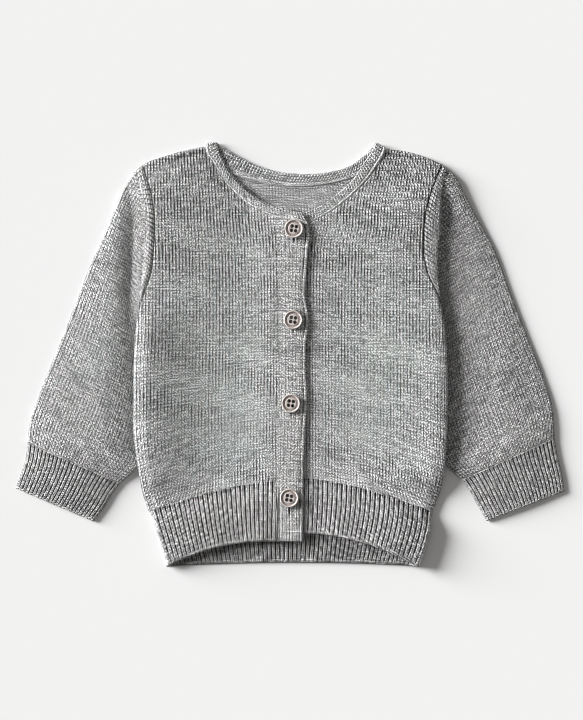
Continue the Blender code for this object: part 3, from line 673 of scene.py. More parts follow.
piece = welt("right_hem_rib", RIGHT_HEM, 26, (4.2, 0.4), right_hem_height,
             lambda x, y: front_height(x, y, -1))
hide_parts("hem_rib_right")
piece = welt("left_hem_rib", LEFT_HEM, 26, (3.0, 0.4), left_hem_height,
             lambda x, y: front_height(x, y, 1))
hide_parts("hem_rib_left")
# The back's rib is painted darker: painted shade under the fronts' ribs that lie over it.
piece = welt("back_hem_rib", BACK_HEM, 60, (2.0, 2.0), back_hem_height,
             lambda x, y: underside(x, y) + 1.6, painted_shade=0.14)
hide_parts("hem_rib_back")


# ---- Sleeves ------------------------------------------------------------------------------------
# Tubes of plain knit, sewn into the armholes. Beside the seam a narrow strip stands up to the body's
# level and then turns down in a fold, sharp and tucked under on the left, soft on the right.
SLEEVE_WALES = 36
SLEEVE_END = 68.0       # width of a sleeve where the cuff is sewn on
EDGE_HEIGHT = 1.9       # height of a sleeve's top face at its edges
BASE_GAP = 0.05         # the lower face lies this far above the surface
STRIP_ROWS = 12         # rows whose courses run along the seam: the strip's, and the first of the fold
COURSE_WAY = (-0.42, 0.907)     # direction in which the courses follow each other, on the left
RIGHT_SLEEVE = dict(
    way=-1, pleat=0.0,
    fold=[(-104.6, 122.2), (-101.0, 110.0), (-98.9, 98.0), (-98.4, 84.0), (-98.8, 68.0), (-99.6, 52.0),
          (-100.6, 38.0), (-101.8, 27.0)],
    outer=[(-104.6, 122.2), (-112.0, 110.0), (-120.4, 90.6), (-134.5, 58.1), (-146.0, 28.5),
           (-158.2, -1.9), (-168.4, -27.3), (-174.2, -44.0), (-175.9, -58.4)],
    inner=[(-101.8, 27.0), (-101.0, 18.0), (-99.0, 9.0), (-96.6, -3.0), (-94.8, -20.0), (-93.8, -42.0),
           (-96.8, -62.0), (-103.0, -77.0), (-113.2, -86.1)])
LEFT_SLEEVE = dict(
    way=1, pleat=1.0,
    fold=[(104.9, 124.2), (102.4, 110.0), (101.4, 97.0), (100.6, 82.0), (99.4, 68.0), (99.4, 54.0),
          (100.8, 39.0), (102.4, 27.0)],
    outer=[(104.9, 124.2), (110.6, 119.6), (117.9, 106.0), (126.0, 91.0), (136.8, 71.0), (147.3, 42.6),
           (159.2, 11.9), (169.5, -13.9), (176.0, -36.0), (177.3, -55.4)],
    inner=[(102.4, 27.0), (101.6, 18.0), (100.0, 9.0), (97.8, -3.0), (95.6, -20.0), (94.8, -42.0),
           (97.8, -60.0), (104.6, -75.0), (114.6, -83.8)])
# The strip from the seam to the fold: distance as a share, and how far it lies under the level there.
STRIP_FORM = [(0.0, 1.1), (0.05, 0.35), (0.12, 0.02), (0.22, -0.1), (0.36, -0.2), (0.52, -0.2),
              (0.68, -0.1), (0.82, 0.0)]
# The tucked fold: distance back from its edge, and down. An arc, and then a tight turn outwards.
FOLD_ARC = [(1.5 - 1.5 * math.cos(math.radians(a)), 1.5 - 1.5 * math.sin(math.radians(a)))
            for a in (70.0, 45.0, 20.0, 0.0, -20.0, -45.0, -75.0)]
FOLD_ARC += [(2.4, 3.5), (3.6, 4.0), (4.6, 4.3), (4.8, 4.5)]


def along_line(points, share):
    """Points at the given shares of the length of a smooth line through a few points."""
    p = np.asarray(points, float)
    run = np.concatenate([[0.0], np.cumsum(np.linalg.norm(np.diff(p, axis=0), axis=1))])
    at = np.asarray(share) * run[-1]
    return np.stack([smooth(at, run, p[:, k]) for k in range(2)], axis=-1)


def distance_to(x, y, line):
    """Distance of each point from the nearest place on a smooth line."""
    px, py = along_line(line, np.linspace(0.0, 1.0, 160)).T
    return np.sqrt(np.min((x[..., None] - px) ** 2 + (y[..., None] - py) ** 2, axis=-1))


def bulge(distance, reach):
    """0 at an edge, climbing steadily and rounding off to 1 at the reach."""
    return 1.0 - (1.0 - np.clip(distance / reach, 0.0, 1.0)) ** 1.7


def towards(value, goal, share):
    """The value at share 0, the goal at share 1."""
    return value + (goal - value) * share


def cuff_form(share, down):
    """Height of a cuff's upper face, and of the sleeve's end: crowned between its edges, and flatter
    towards the open end, which is down 1."""
    edge = np.minimum(share, 1.0 - share) * SLEEVE_END
    return 2.5 + 2.6 * bulge(edge, 30.0) * (1.0 - 0.65 * down)


def tube_height(upper, round_off, height, below):
    """Height of a flat tube's upper and lower face, which meet midway where its edges round off."""
    middle, half = 0.5 * (height + below), 0.5 * (height - below) * round_off
    return np.where(upper, middle + half, middle - half)


def sleeve(name, side, way, fold, outer, inner, pleat, material):
    """Rows run down the sleeve. Each row goes from the outer edge across the top to the inner edge, and
    back below. The first rows cross the strip from the armhole seam to the fold, the next go round the
    fold, and the rest follow the outer and inner edges down to the cuff."""
    top_share = np.linspace(0.0, 1.0, 5 * SLEEVE_WALES + 1)
    low_share = np.concatenate([[0.005, 0.015, 0.03], np.linspace(0.05, 0.95, 40), [0.97, 0.985, 0.995]])
    share = np.concatenate([top_share, low_share[::-1]])
    upper = np.arange(len(share)) < len(top_share)
    wide = np.sin(np.pi * share)
    seam_y = np.linspace(BODY_SIDES[-1, 0], ARMHOLE_Y, 60)
    slide = np.clip(share + (0.08 - 0.135 * pleat) * wide, 0.0, 1.0)
    seam = along_line(np.stack([side(seam_y), seam_y], axis=1), slide) + np.array([0.35 * way, 0.0])
    fold_line = along_line(fold, share)
    body = underside(*seam.T)
    # At its tip under the arm the strip sinks below the body's edge.
    level = towards(body + 3.3 + air(*seam.T), body - 0.3, fade(0.84, 1.0, share))
    narrow = fade(0.3, 4.0, np.linalg.norm(fold_line - seam, axis=1))
    tuck = pleat * fade(0.06, 0.26, share) * (1.0 - fade(0.8, 0.95, share)) * narrow
    slope = (1.0 - 0.85 * pleat) * (0.5 + 0.9 * wide)

    plan, height, below = [], [], []
    for t, sunk in STRIP_FORM:
        plan.append(seam * (1 - t) + fold_line * t)
        sunk = sunk * (0.45 + 0.55 * pleat) if sunk > 0.0 else sunk
        height.append(level - (sunk + slope * fade(0.25, 1.15, t)) * narrow)
        below.append(body * (1.0 - t))
    soft_end = level - slope * fade(0.25, 1.15, 1.0) * narrow
    for k, (behind, sunk) in enumerate(FOLD_ARC):
        t = (k + 1) / len(FOLD_ARC)
        shift = behind * tuck + 1.2 * (1.0 - t) * (1.0 - tuck) * narrow
        plan.append(fold_line - np.array([way, 0.0]) * shift[:, None])
        height.append(soft_end - 0.25 * t * (1.0 - tuck) - sunk * tuck)
        below.append(0.0 * share)
    crease = height[-1]

    # The sleeve itself bulges between its outer edge and the valley along the fold and the body's side.
    valley_y = np.linspace(-90.0, 122.0, 200)
    fold_x, fold_y = np.array(fold).T
    valley_x = np.where(valley_y > ARMHOLE_Y, smooth(-valley_y, -fold_y, fold_x), side(valley_y))

    def from_valley(x, y):
        return way * (x - np.interp(y, valley_y, valley_x))

    s = share[:, None]
    straight_fold = (1 - s) * fold_line[0] + s * fold_line[len(top_share) - 1]
    end = cuff_form(share, 0.0) + 0.15
    for t in np.concatenate([[0.006, 0.014, 0.024, 0.036], np.linspace(0.05, 0.985, 54),
                             [0.993, 0.998, 1.0]]):
        at_outer, at_inner = along_line(outer, [t])[0], along_line(inner, [t])[0]
        line = (1 - s) * at_outer + s * at_inner + (1 - t) * (fold_line - straight_fold)
        line[:, 0] -= way * FOLD_ARC[-1][0] * tuck * (1.0 - fade(0.0, 0.10, t))
        x, y = line.T
        a, b = distance_to(x, y, outer), from_valley(x, y)
        high = 1.0 - fade(0.12, 0.42, t)
        out = (3.9 - 0.3 * pleat) * bulge(a, 52.0 + 10.0 * pleat)
        out = towards(out, (4.2 - 2.0 * pleat) * bulge(a, 13.0), high)
        into = towards(3.4 * bulge(b, 24.0), 2.8 * np.clip(b / 44.0, 0.0, 1.0) ** 1.6, pleat)
        into = into + 6.0 * fade(-70.0, -92.0, y)
        soft_roll = 2.9 * bulge(b - 7.0, 14.0) - 1.3 * fade(0.0, 7.0, b)
        into = towards(into, soft_roll, high * (1.0 - pleat))
        # The lower of the two, with a round passage from one to the other.
        crown = -0.7 * np.log(np.exp(-out / 0.7) + np.exp(-into / 0.7))
        top = towards(EDGE_HEIGHT, crease, 1.0 - fade(0.0, 0.3, t)) + np.maximum(crown, -1.5 * high)
        # Beside and below the body's edge the sleeve stays under the body.
        under = underside(x, y) - 0.3 + 1.3 * np.maximum(b, 0.0) + 0.4 * np.maximum(y - 25.0, 0.0)
        top = np.minimum(top, np.maximum(under, EDGE_HEIGHT))
        plan.append(line)
        height.append(towards(top, end, fade(0.80, 0.99, t)))
        below.append(0.0 * share)
    plan, height, below = np.array(plan), np.array(height), np.array(below)

    # Both edges round from the top to the underside.
    run = np.linalg.norm(np.diff(plan[:, :len(top_share)], axis=1), axis=2).sum(axis=1)[:, None]
    round_off = round_in(np.minimum(share, 1.0 - share) * run, 2.1)
    z = tube_height(upper, round_off, height, below) + np.where(upper, 0.0, BASE_GAP)
    points = np.concatenate([plan, z[:, :, None]], axis=2)
    grown = length_down(points)
    x, y = plan[:, :, 0], plan[:, :, 1]
    thin = (np.abs(from_valley(x, y)) < 4.0) & (y > 8.0) & (y < 52.0) & (share > 0.7)
    across = np.where(upper, share, 2.0 - share) * SLEEVE_WALES * WALE
    # Beside the seam the grooves between the wales gape, and on the strip the wales stand out more.
    near_seam = 1.0 - fade(2.6 + 1.4 * pleat, 4.6 + 2.4 * pleat, grown)
    in_groove = upper & (np.round(across / WALE * 5.0) % 5 == 0)
    gape = (1.9 - 0.9 * pleat) * np.sin(np.pi * np.clip(share / 0.9, 0.0, 1.0)) ** 2
    groove = np.where(upper, 0.5, 0.4) + near_seam * in_groove * gape
    strip = (0.5 + 1.1 * pleat) * (1.0 - fade(4.0, 9.0, grown)) * narrow
    lift = 0.22 * upper * (wales(across) - 0.5) * fade(0.0, 1.2, grown) * (1.0 + strip)
    lift = lift * np.maximum(narrow, 1.0 - near_seam)
    # The strip's courses run along the seam, and meet those of the sleeve in the fold.
    course = COURSE_WAY[0] * way * x + COURSE_WAY[1] * y
    course[:STRIP_ROWS] = -grown[:STRIP_ROWS]
    if way < 0:
        points, lift, across, course, groove, thin = turned_over(
            points, lift, across, course, groove, thin)
    points = raised(points, lift, ring=True)
    return cloth(name, points, across, course, groove, PLAIN_WALL, material, ring=True, thin=thin)


piece = sleeve("sleeve_right_tube", right_side, material=plain_knit, **RIGHT_SLEEVE)
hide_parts("sleeve_right")
# Painted shade: the left sleeve gets a darker copy of the same yarn, as it lies on the far side from the
# lamp.
shaded_left_knit = knit("left_sleeve_shaded_knit", GREY * 0.87, WALE, COURSE, dark=2.1, relief=0.5, speck=1.5, loose=0.75)
piece = sleeve("sleeve_left_tube", left_side, material=shaded_left_knit, **LEFT_SLEEVE)
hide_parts("sleeve_left")


# ---- Cuffs --------------------------------------------------------------------------------------
# Short tubes in the same rib as the hem, sewn to the sleeves' ends. Their ribs fan towards the body.
# The lower faces, on the surface, are smooth.
CUFF_RIBS = 24
# Sections from the seam down: outer edge x, y, then inner edge x, y.
RIGHT_CUFF = [(-175.9, -58.9, -113.4, -86.6), (-177.2, -69.5, -118.6, -93.0),
              (-180.4, -79.8, -124.2, -102.4), (-184.0, -89.7, -131.4, -112.2)]
LEFT_CUFF = [(177.3, -55.9, 114.8, -84.3), (179.4, -68.0, 120.0, -91.6), (182.4, -80.5, 125.6, -101.6),
             (184.0, -91.8, 131.6, -111.9)]


def cuff(name, way, rows):
    """Rows follow the two edges from the seam to the open end. Each row crosses the top rib by rib and
    comes back below, and both the edges and the end round off."""
    v = np.concatenate([[0.0, 0.02, 0.045, 0.07, 0.1], np.linspace(0.13, 0.9, 11),
                        [0.94, 0.965, 0.983, 0.995, 1.0]])[:, None]
    ox, oy, ix, iy = sections(rows, v[:, 0])
    places = rib_places(CUFF_RIBS)
    low_share = np.concatenate([[0.01, 0.03], np.linspace(0.06, 0.94, 30), [0.97, 0.99]])
    share = np.concatenate([places / CUFF_RIBS, low_share[::-1]])
    upper = np.arange(len(share)) < len(places)
    x, y = ox * (1 - share) + ix * share, oy * (1 - share) + iy * share
    edge = np.minimum(share, 1.0 - share) * np.hypot(ix - ox, iy - oy)
    length = np.hypot(ox[0] - ox[-1], oy[0] - oy[-1])[0]
    from_end = (1.0 - v) * length
    end_drop = edge_drop(from_end, 1.1)
    z = tube_height(upper, round_in(edge, 2.3), cuff_form(share, v) - end_drop, BASE_GAP + 0.6 * end_drop)
    crest = np.where(upper, rib_height(share * CUFF_RIBS), 1.0) + 0.0 * z
    crest = rib_ends(crest, v * length, from_end, 1.2, 0.6)
    points = np.stack([x, y, z], axis=2)
    lift = RIB_DEPTH * (crest - RIB_MIDDLE) * upper
    grain = np.where(upper, share, 2.0 - share) * CUFF_RIBS * RIB
    if way < 0:
        points, lift, crest, grain = turned_over(points, lift, crest, grain)
    points = raised(points, lift, ring=True)
    return cloth(name, points, grain, -v * length, 1.0 - crest, RIB_WALL, rib_knit, ring=True)


piece = cuff("cuff_right_tube", -1, RIGHT_CUFF)
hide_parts("cuff_right")
piece = cuff("cuff_left_tube", 1, LEFT_CUFF)
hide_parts("cuff_left")


# ---- Neckband -----------------------------------------------------------------------------------
# A doubled ribbon of fine rib round the whole neck. It starts at the lapping front's corner, goes over
# the right shoulder point, round the back, over the left shoulder point and down to its end under the lap.
FINE_RIB = 2.0
FINE_RIB_DEPTH = 0.45
NECK_WALL = 0.65        # thickness of one of its two layers
NECK_HALF = 0.75        # half the ribbon's thickness
LAP_LENGTH = (70.0, 92.0)   # the lapping front's stretch of the band ends between these lengths
# Free edge x, y, seam x, y, height of its middle, and how far a rib slants along the band.
NECK_ROWS = [
    (7.2, 96.6, 12.8, 86.2, 6.0, 0.0), (0.4, 97.6, 1.6, 90.0, 5.8, 0.0), (-9.4, 99.0, -9.1, 91.3, 5.0, -1.0),
    (-19.4, 103.3, -22.9, 97.1, 3.5, -3.5), (-29.6, 111.4, -34.6, 105.8, 2.8, -5.5),
    (-38.4, 120.1, -44.3, 115.8, 2.7, -6.0), (-44.2, 130.1, -50.9, 127.2, 2.7, -5.0),
    (-47.4, 137.0, -55.4, 134.6, 2.8, -3.0), (-48.6, 140.4, -56.2, 138.8, 2.9, -1.0),
    (-49.0, 141.6, -55.4, 141.4, 3.0, 0.0), (-48.8, 141.4, -54.8, 140.4, 2.0, 0.0),
    (-46.0, 139.2, -51.9, 130.0, 1.5, 0.0), (-34.6, 132.6, -41.4, 121.7, 1.4, 0.0),
    (-22.0, 126.4, -26.7, 117.4, 1.4, 0.0), (-7.4, 122.3, -12.2, 114.0, 1.4, 0.0),
    (7.6, 120.8, 2.3, 112.4, 1.4, 0.0), (22.4, 121.4, 16.8, 113.0, 1.4, 0.0),
    (37.0, 124.9, 31.3, 115.4, 1.4, 0.0), (47.6, 131.2, 45.9, 119.9, 1.4, 0.0),
    (54.4, 137.8, 57.7, 127.5, 1.5, 0.0), (57.0, 141.0, 63.4, 137.6, 2.0, 0.0),
    (57.2, 141.2, 63.6, 138.0, 3.1, 0.5), (56.8, 139.6, 63.6, 136.6, 3.9, 1.5),
    (54.6, 135.6, 62.4, 133.2, 4.3, 3.0), (48.8, 127.2, 57.1, 124.3, 4.4, 5.0),
    (42.2, 117.1, 48.4, 113.4, 4.4, 6.0), (31.8, 107.4, 38.3, 103.9, 4.2, 5.0),
    (21.2, 99.7, 26.6, 95.3, 3.8, 3.0), (11.1, 95.3, 12.6, 87.5, 3.4, 1.0), (2.0, 93.4, 3.0, 85.9, 3.3, 0.0),
    (-7.0, 91.4, -7.4, 83.7, 3.3, 0.0),
]
# Section across the band's face: share from the free edge to the seam, height, share of the rib's relief.
NECK_FORM = [
    (0.0, 0.0, 0.15), (0.02, 0.0, 0.4), (0.06, 0.0, 0.8), (0.13, 0.0, 1.0), (0.24, 0.05, 1.0),
    (0.37, 0.1, 1.0), (0.5, 0.12, 1.0), (0.63, 0.08, 1.0), (0.73, -0.08, 0.8), (0.79, -0.32, 0.3),
    (0.85, 0.0, 0.0), (0.9, 0.02, 0.0), (0.95, -0.05, 0.0), (0.98, -0.12, 0.0), (1.0, -0.2, 0.0),
]


def neckband(material):
    """Rows are places along the band, four to a rib. Each row is a closed loop round the flattened tube:
    the outer face from the seam to the free edge, and the inner face back. A loop's place is taken a
    little earlier or later along the band from one edge to the other, so that the ribs slant."""
    table = np.array(NECK_ROWS)
    middle = np.column_stack([0.5 * (table[:, :2] + table[:, 2:4]), table[:, 4]])
    steps = np.maximum(np.linalg.norm(np.diff(middle, axis=0), axis=1), 0.9)
    run = np.concatenate([[0.0], np.cumsum(steps)])
    fine = np.linspace(0.0, run[-1], 3000)
    values = np.stack([smooth(fine, run, column) for column in table.T], axis=1)
    free, seam = [np.column_stack([values[:, k:k + 2], values[:, 4]]) for k in (0, 2)]
    out = np.cross(np.gradient(0.5 * (free + seam), axis=0), seam - free)
    out /= np.linalg.norm(out, axis=1)[:, None]
    ribs = int(run[-1] / FINE_RIB)
    at = np.linspace(0.0, run[-1], 4 * ribs + 1)
    slant = np.interp(at, fine, values[:, 5])
    ribbed = wales(at * ribs / run[-1] * FINE_RIB, FINE_RIB)
    # On the lapping front the seam hardly stands out, and the free edge tilts up over a painted shadow: a
    # dark line painted along the edge.
    lap = 1.0 - fade(*LAP_LENGTH, at)
    in_front = fade(2.1, 2.7, np.interp(at, fine, values[:, 4]))
    loop, crest, depth = [], [], []
    faces = [(1.0, form) for form in NECK_FORM[::-1]] + [(-1.0, form) for form in NECK_FORM[1:-1:2]]
    for face, (w, rise, bears) in faces:
        place = np.clip(at + slant * (w - 0.5), 0.0, run[-1])
        f, e, n = [np.stack([np.interp(place, fine, part[:, k]) for k in range(3)], axis=1)
                   for part in (free, seam, out)]
        half = NECK_HALF * round_in(min(w, 1.0 - w) * np.linalg.norm(e - f, axis=1), NECK_HALF)
        rise = rise * (1.0 - 0.85 * lap if w > 0.7 else 1.0)
        tilt = 0.595 * lap * (1.0 - w) ** 2
        loop.append(f * (1.0 - w) + e * w + n * (face * (half + rise) + tilt)[:, None])
        # Painted shadow: the free edge, and its inner face where the band lies over the back, are painted
        # dark.
        painted_edge_shadow = (0.35 * in_front + 1.02 * lap) * (w < 0.03) + 1.2 * in_front * (face < 0 and w < 0.2)
        crest.append(1.0 + (ribbed - 1.0) * bears - painted_edge_shadow)
        depth.append(-face * w * 8.0)
    points, crest = np.stack(loop, axis=1), np.stack(crest, axis=1)
    points = raised(points, FINE_RIB_DEPTH * (crest - 0.6), ring=True)
    return cloth("neckband_ribbon", points, at[:, None], np.array(depth), 1.0 - crest, NECK_WALL, material,
                 ring=True)


piece = neckband(knit("neck_knit", GREY * 1.25, FINE_RIB, CLOSE_COURSE, dark=1.3, relief=0.35, speck=1.8,
                      plain=False, streaks=0.8))
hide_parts("neckband")


# ---- Button bands -------------------------------------------------------------------------------
# Two straps of plain knit. The right one is on top and has four upright buttonholes; a chain of
# stitches runs up its free edge. The left one lies under it and hardly shows.
BAND_WALL = 1.8
BAND_WALES = 8
SLIT_HALF = 6.6         # half the length of a buttonhole
# Middle of each button, and how far its buttonhole lies further up than usual.
BUTTON_PLACES = [(2.6, 84.0, 0.0), (2.1, 23.0, 0.0), (0.6, -32.9, 0.0), (-0.5, -96.1, -1.6)]
# Edges and seams as y, x, from the hem to the neck; then ends as x, y.
TOP_EDGE = [(-125.2, 8.7), (-107.0, 9.1), (-88.8, 9.2), (-74.2, 9.5), (-52.5, 10.3), (-30.0, 11.7),
            (-9.9, 10.8), (7.5, 11.1), (23.0, 12.8), (41.0, 10.4), (55.3, 11.4), (69.8, 12.5), (80.0, 13.4),
            (86.0, 12.6)]
TOP_SEAM = [(-125.4, -8.8), (-112.0, -9.2), (-98.0, -9.0), (-84.3, -8.9), (-46.0, -8.2), (-4.0, -7.5),
            (46.0, -7.5), (77.0, -8.5), (91.2, -9.8)]
TOP_END = [(-8.3, 91.2), (1.8, 89.8), (12.6, 85.7)]
UNDER_EDGE = [(-119.8, -8.6), (-50.0, -8.0), (77.0, -7.6), (86.0, -7.5)]
UNDER_SEAM = [(-119.9, 8.2), (-26.0, 8.6), (31.0, 8.9), (61.0, 9.4), (87.0, 12.2)]
UNDER_END = [(-7.4, 83.1), (3.0, 85.3), (12.2, 87.0)]


def band(name, first, last, end, low_y, height, on_top, material):
    """Columns share the width between two lines at each height, from the first, at lower X, to the last.
    Rows run up from the lower edge to the neckband's seam. The free edge rounds off, and on the top band,
    where it is the last line, a chain stands out along it."""
    share = np.linspace(0.0, 1.0, 5 * BAND_WALES + 1)
    share = np.concatenate([[0.0, 0.01], share[1:-1], [0.975, 0.99, 1.0]])

    def line(y):
        return smooth(y, *zip(*first)) * (1 - share) + smooth(y, *zip(*last)) * share

    top = smooth(line(end[1][1] + 0.0 * share), *zip(*end))
    y = places_between(low_y + 0.0 * share, top, 120, (0.0, 0.25, 0.7, 1.4), (1.2, 0.5, 0.0))
    x = line(y)
    width = smooth(y, *zip(*last)) - smooth(y, *zip(*first))
    a, b = share * width, (1 - share) * width
    from_edge, from_seam, seam_drop = (b, a, 0.25) if on_top else (a, b, 0.65)
    z = height + 0.0 * x - edge_drop(from_edge, 1.1)
    z = z - seam_drop * (1.0 - fade(1.0, 4.0, from_seam))
    z = z - edge_drop(y - low_y, 1.2) - edge_drop(top - y, 0.5)
    across = share * BAND_WALES * WALE
    crest = wales(across) + 0.0 * y
    bead = ridge(b - 1.2, 0.8) * on_top
    ditch = ridge(b - 3.0, 0.6) * on_top
    lift = 0.13 * (crest - 0.5) * (1.0 - bead) + 0.18 * bead - 0.25 * ditch
    dark = 0.6 + 0.8 * ditch + 0.3 * bead
    if on_top:
        # Each buttonhole is a slit with a firm whipped rim.
        for bx, by, shift in BUTTON_PLACES:
            dx, dy = x - bx - 0.2, y - by + 1.5 - shift
            r = np.hypot(dx, np.maximum(np.abs(dy) - SLIT_HALF, 0.0))
            lift = lift - 1.3 * ridge(r, 0.42) + 0.4 * ridge(r - 1.15, 0.5)
            dark = dark + 1.3 * ridge(r, 0.5)
    points = raised(np.stack([x, y, z], axis=2), lift)
    return cloth(name, points, across, y, dark, BAND_WALL, material)


band_knit = knit("band_knit", GREY * 1.01, WALE, COURSE, dark=1.3, relief=0.3, speck=1.5, loose=0.75)
piece = band("right_button_band", TOP_SEAM, TOP_EDGE, TOP_END, -125.3, 6.7, True, band_knit)
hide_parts("button_band_right")
piece = band("left_button_band", UNDER_EDGE, UNDER_SEAM, UNDER_END, -119.8, 4.2, False, band_knit)
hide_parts("button_band_left")


# ---- Buttons ------------------------------------------------------------------------------------
# Four turned discs of mottled pale resin, with a rim, a sunk ring and a raised middle with four holes.
# They belong to the left band and stand up through the right one's buttonholes. There is no thread.
BUTTON_FOOT = 7.0       # height of their undersides
BUTTON_TURN = math.radians(-8.7)
HOLE_RADIUS = 0.8
HOLE_STEP = 2.85        # distance between two holes
BUTTON_SIDES = 72
HOLE_SIDES = 24
PALE_RESIN = (0.66, 0.60, 0.565, 1.0)
DEEP_RESIN = (0.40, 0.345, 0.32, 1.0)
WORN_RESIN = (0.13, 0.105, 0.10, 1.0)
HOLE_SHADE_PAINT = (0.012, 0.01, 0.01, 1.0)
# Turned profile: distance from the middle, height.
BUTTON_PROFILE = np.array([
    (1.2, 1.64), (2.4, 1.72), (3.2, 1.8), (3.55, 1.76), (3.8, 1.58), (3.98, 1.45), (4.3, 1.4), (4.8, 1.4),
    (5.05, 1.46), (5.2, 1.66), (5.32, 2.0), (5.5, 2.22), (5.72, 2.3), (5.95, 2.24), (6.15, 2.04),
    (6.25, 1.75), (6.25, 1.2), (6.16, 0.8), (5.9, 0.4), (5.4, 0.12), (4.8, 0.02), (3.0, 0.0),
])
# A hole's profile from its lower end up, with a flared mouth.
HOLE_PROFILE = np.array([(1.0, -1.0), (1.0, 1.35), (1.28, 1.75), (1.6, 2.2)]) * (HOLE_RADIUS, 1.0)


def mixed(tree, factor, first, second):
    """The first colour at factor 0, the second at 1."""
    return put(tree, "ShaderNodeMix", {"Factor": factor, 6: first, 7: second}, data_type="RGBA").outputs[2]


def mapped(tree, value, low, high, **settings):
    """0 where the value is low, 1 where it is high."""
    return put(tree, "ShaderNodeMapRange", {0: value, 1: low, 2: high}, **settings).outputs[0]


def button_material():
    """Pale pinkish beige resin with soft clouds, darker mottles where the sunk ring is worn in, and painted
    shade in the four holes.
    """
    mat, tree, shader = new_material("button_resin")
    place = put(tree, "ShaderNodeUVMap", uv_map="disc").outputs[0]
    radius = put(tree, "ShaderNodeVectorMath", {0: place}, operation="LENGTH").outputs["Value"]
    ring = work(tree, "MULTIPLY", mapped(tree, radius, 0.0037, 0.0041, interpolation_type="SMOOTHSTEP"),
                mapped(tree, radius, 0.0053, 0.0049, interpolation_type="SMOOTHSTEP"))
    mottle, cloud = [put(tree, "ShaderNodeTexNoise", {"Vector": place, "Scale": scale, "Detail": detail},
                         noise_dimensions="2D").outputs[0] for scale, detail in ((1100.0, 2.0), (260.0, 3.0))]
    wear = work(tree, "MULTIPLY", ring, scaled(tree, mapped(tree, mottle, 0.47, 0.6), 0.65, 0.15))
    worn = mixed(tree, wear, mixed(tree, cloud, DEEP_RESIN, PALE_RESIN), WORN_RESIN)
    # Painted shade: the four holes are painted near black, out to their rims.
    turned = put(tree, "ShaderNodeVectorRotate", {"Vector": place, "Angle": -BUTTON_TURN},
                 rotation_type="Z_AXIS").outputs[0]
    folded = put(tree, "ShaderNodeVectorMath", {0: turned}, operation="ABSOLUTE").outputs[0]
    hole = (0.5 * HOLE_STEP * MM, 0.5 * HOLE_STEP * MM, 0.0)
    from_hole = put(tree, "ShaderNodeVectorMath", {0: folded, 1: hole}, operation="DISTANCE").outputs["Value"]
    colour = mixed(tree, mapped(tree, from_hole, 0.00105, 0.0013), HOLE_SHADE_PAINT, worn)
    tree.links.new(colour, shader.inputs["Base Color"])
    bump = put(tree, "ShaderNodeBump", {"Strength": 0.6, "Distance": 0.00012, "Height": mottle})
    tree.links.new(bump.outputs[0], shader.inputs["Normal"])
    shader.inputs["Roughness"].default_value = 0.38
    return mat


def turned_solid(name, x, y, z, profile, sides):
    """A solid in the scene: the profile turned about an upright axis, with a face over each end."""
    turn = np.linspace(0.0, 2.0 * np.pi, sides, endpoint=False)
    r, rise = profile[:, :1], profile[:, 1:]
    points = np.stack([x + r * np.cos(turn), y + r * np.sin(turn), z + rise + 0.0 * turn], axis=2)
    index = np.arange(len(profile) * sides).reshape(-1, sides)
    faces = at_corners(np.hstack([index, index[:, :1]])).reshape(-1, 4).tolist()
    faces += [index[0, ::-1].tolist(), index[-1].tolist()]
    mesh = bpy.data.meshes.new(name)
    mesh.from_pydata((points * MM).reshape(-1, 3).tolist(), [], faces)
    mesh.update()
    return new_object(name, mesh)


def button(number, bx, by, material):
    """The profile turned about the button's axis, with the four holes cut by round pegs."""
    disc = turned_solid("button_disc_%d" % number, bx, by, BUTTON_FOOT, BUTTON_PROFILE[::-1], BUTTON_SIDES)
    cos, sin = HOLE_STEP * math.cos(BUTTON_TURN), HOLE_STEP * math.sin(BUTTON_TURN)
    pegs = []
    for sx, sy in ((-0.5, -0.5), (-0.5, 0.5), (0.5, -0.5), (0.5, 0.5)):
        pegs.append(turned_solid("peg", bx + sx * cos - sy * sin, by + sx * sin + sy * cos, BUTTON_FOOT,
                                 HOLE_PROFILE, HOLE_SIDES))
        hole = disc.modifiers.new("hole", "BOOLEAN")
        hole.operation = "DIFFERENCE"
        hole.solver = "EXACT"
        hole.object = pegs[-1]
    cut = apply_modifiers(disc)
    for peg in pegs:
        bpy.data.objects.remove(peg)
    corner = np.zeros(len(cut.loops), np.int32)
    cut.loops.foreach_get("vertex_index", corner)
    place = vertex_places(cut)[corner, :2] - np.array([bx, by]) * MM
    cut.uv_layers.new(name="disc").uv.foreach_set("vector", place.astype(np.float32).ravel())
    cut.materials.clear()
    cut.materials.append(material)
    cut.shade_smooth()
    cut.set_sharp_from_angle(angle=math.radians(50.0))
    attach(disc, "root")
    return disc


resin = button_material()
for number, (bx, by, _) in enumerate(BUTTON_PLACES, 1):
    piece = button(number, bx, by, resin)
    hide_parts("button_%d" % number)


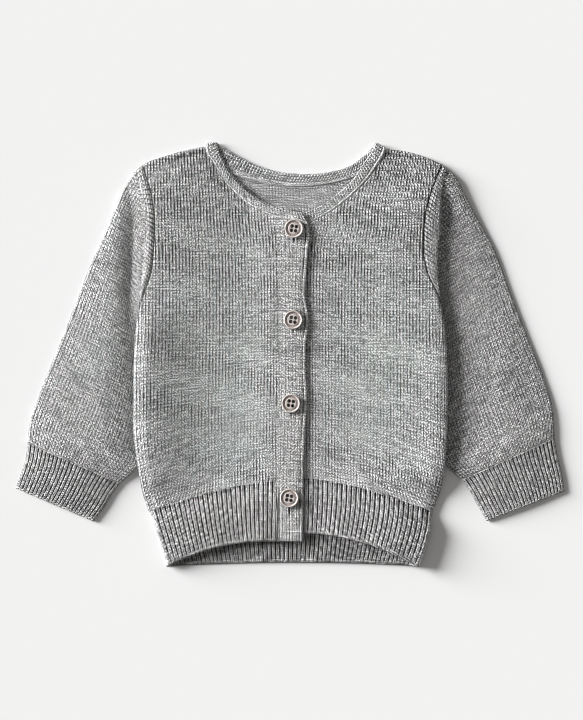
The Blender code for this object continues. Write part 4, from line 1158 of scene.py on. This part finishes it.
# ---- Surface, light and camera ------------------------------------------------------------------
# A plain pale table, a broad soft lamp low beyond the right sleeve and a little towards the neck, and a
# camera straight above.
FLOOR_GREY = 0.80
LAMP_HEIGHT = 18.0      # degrees above the table
LAMP_SIDE = 160.0       # degrees round from +X
LAMP_SPREAD = 30.0      # degrees
FLOOR_LIGHT = 1.11      # lamp and sky together, on the table
SKY = 0.25
BACKDROP = 0.888
CAMERA_HEIGHT = 3.0     # metres, as are the next two
VIEW_HEIGHT = 0.4824
VIEW_CENTRE = (0.0010, -0.0039)
SENSOR = 36.0

table_mesh = bpy.data.meshes.new("table_top")
table_mesh.from_pydata([(-6, -6, 0), (6, -6, 0), (6, 6, 0), (-6, 6, 0)], [], [(0, 1, 2, 3)])
table_white, _, shader = new_material("table_white")
shader.inputs["Base Color"].default_value = (FLOOR_GREY, FLOOR_GREY, FLOOR_GREY, 1.0)
shader.inputs["Roughness"].default_value = 0.9
shader.inputs["Specular IOR Level"].default_value = 0.0
table_mesh.materials.append(table_white)
floor = new_object("table_top", table_mesh)

lamp = bpy.data.lights.new("soft_lamp", "SUN")
lamp.angle = math.radians(LAMP_SPREAD)
lamp.energy = (FLOOR_LIGHT - SKY) * math.pi / math.sin(math.radians(LAMP_HEIGHT))
lamp_object = new_object("soft_lamp", lamp)
lamp_object.rotation_euler = (math.radians(90.0 - LAMP_HEIGHT), 0.0, math.radians(LAMP_SIDE + 90.0))

world = bpy.data.worlds.new("studio")
world.use_nodes = True
sky = world.node_tree
to_camera = put(sky, "ShaderNodeLightPath").outputs["Is Camera Ray"]
tint = mixed(sky, to_camera, (SKY * 1.02, SKY, SKY * 0.98, 1.0), (BACKDROP, BACKDROP, BACKDROP, 1.0))
sky.links.new(tint, sky.nodes["Background"].inputs["Color"])
bpy.context.scene.world = world

camera = bpy.data.cameras.new("camera")
camera.sensor_fit = "VERTICAL"
camera.sensor_height = SENSOR
camera.lens = SENSOR * CAMERA_HEIGHT / VIEW_HEIGHT
camera_object = new_object("camera", camera)
camera_object.location = (*VIEW_CENTRE, CAMERA_HEIGHT)
bpy.context.scene.camera = camera_object
bpy.context.scene.view_settings.view_transform = "Standard"
bpy.context.scene.cycles.filter_width = 0.75
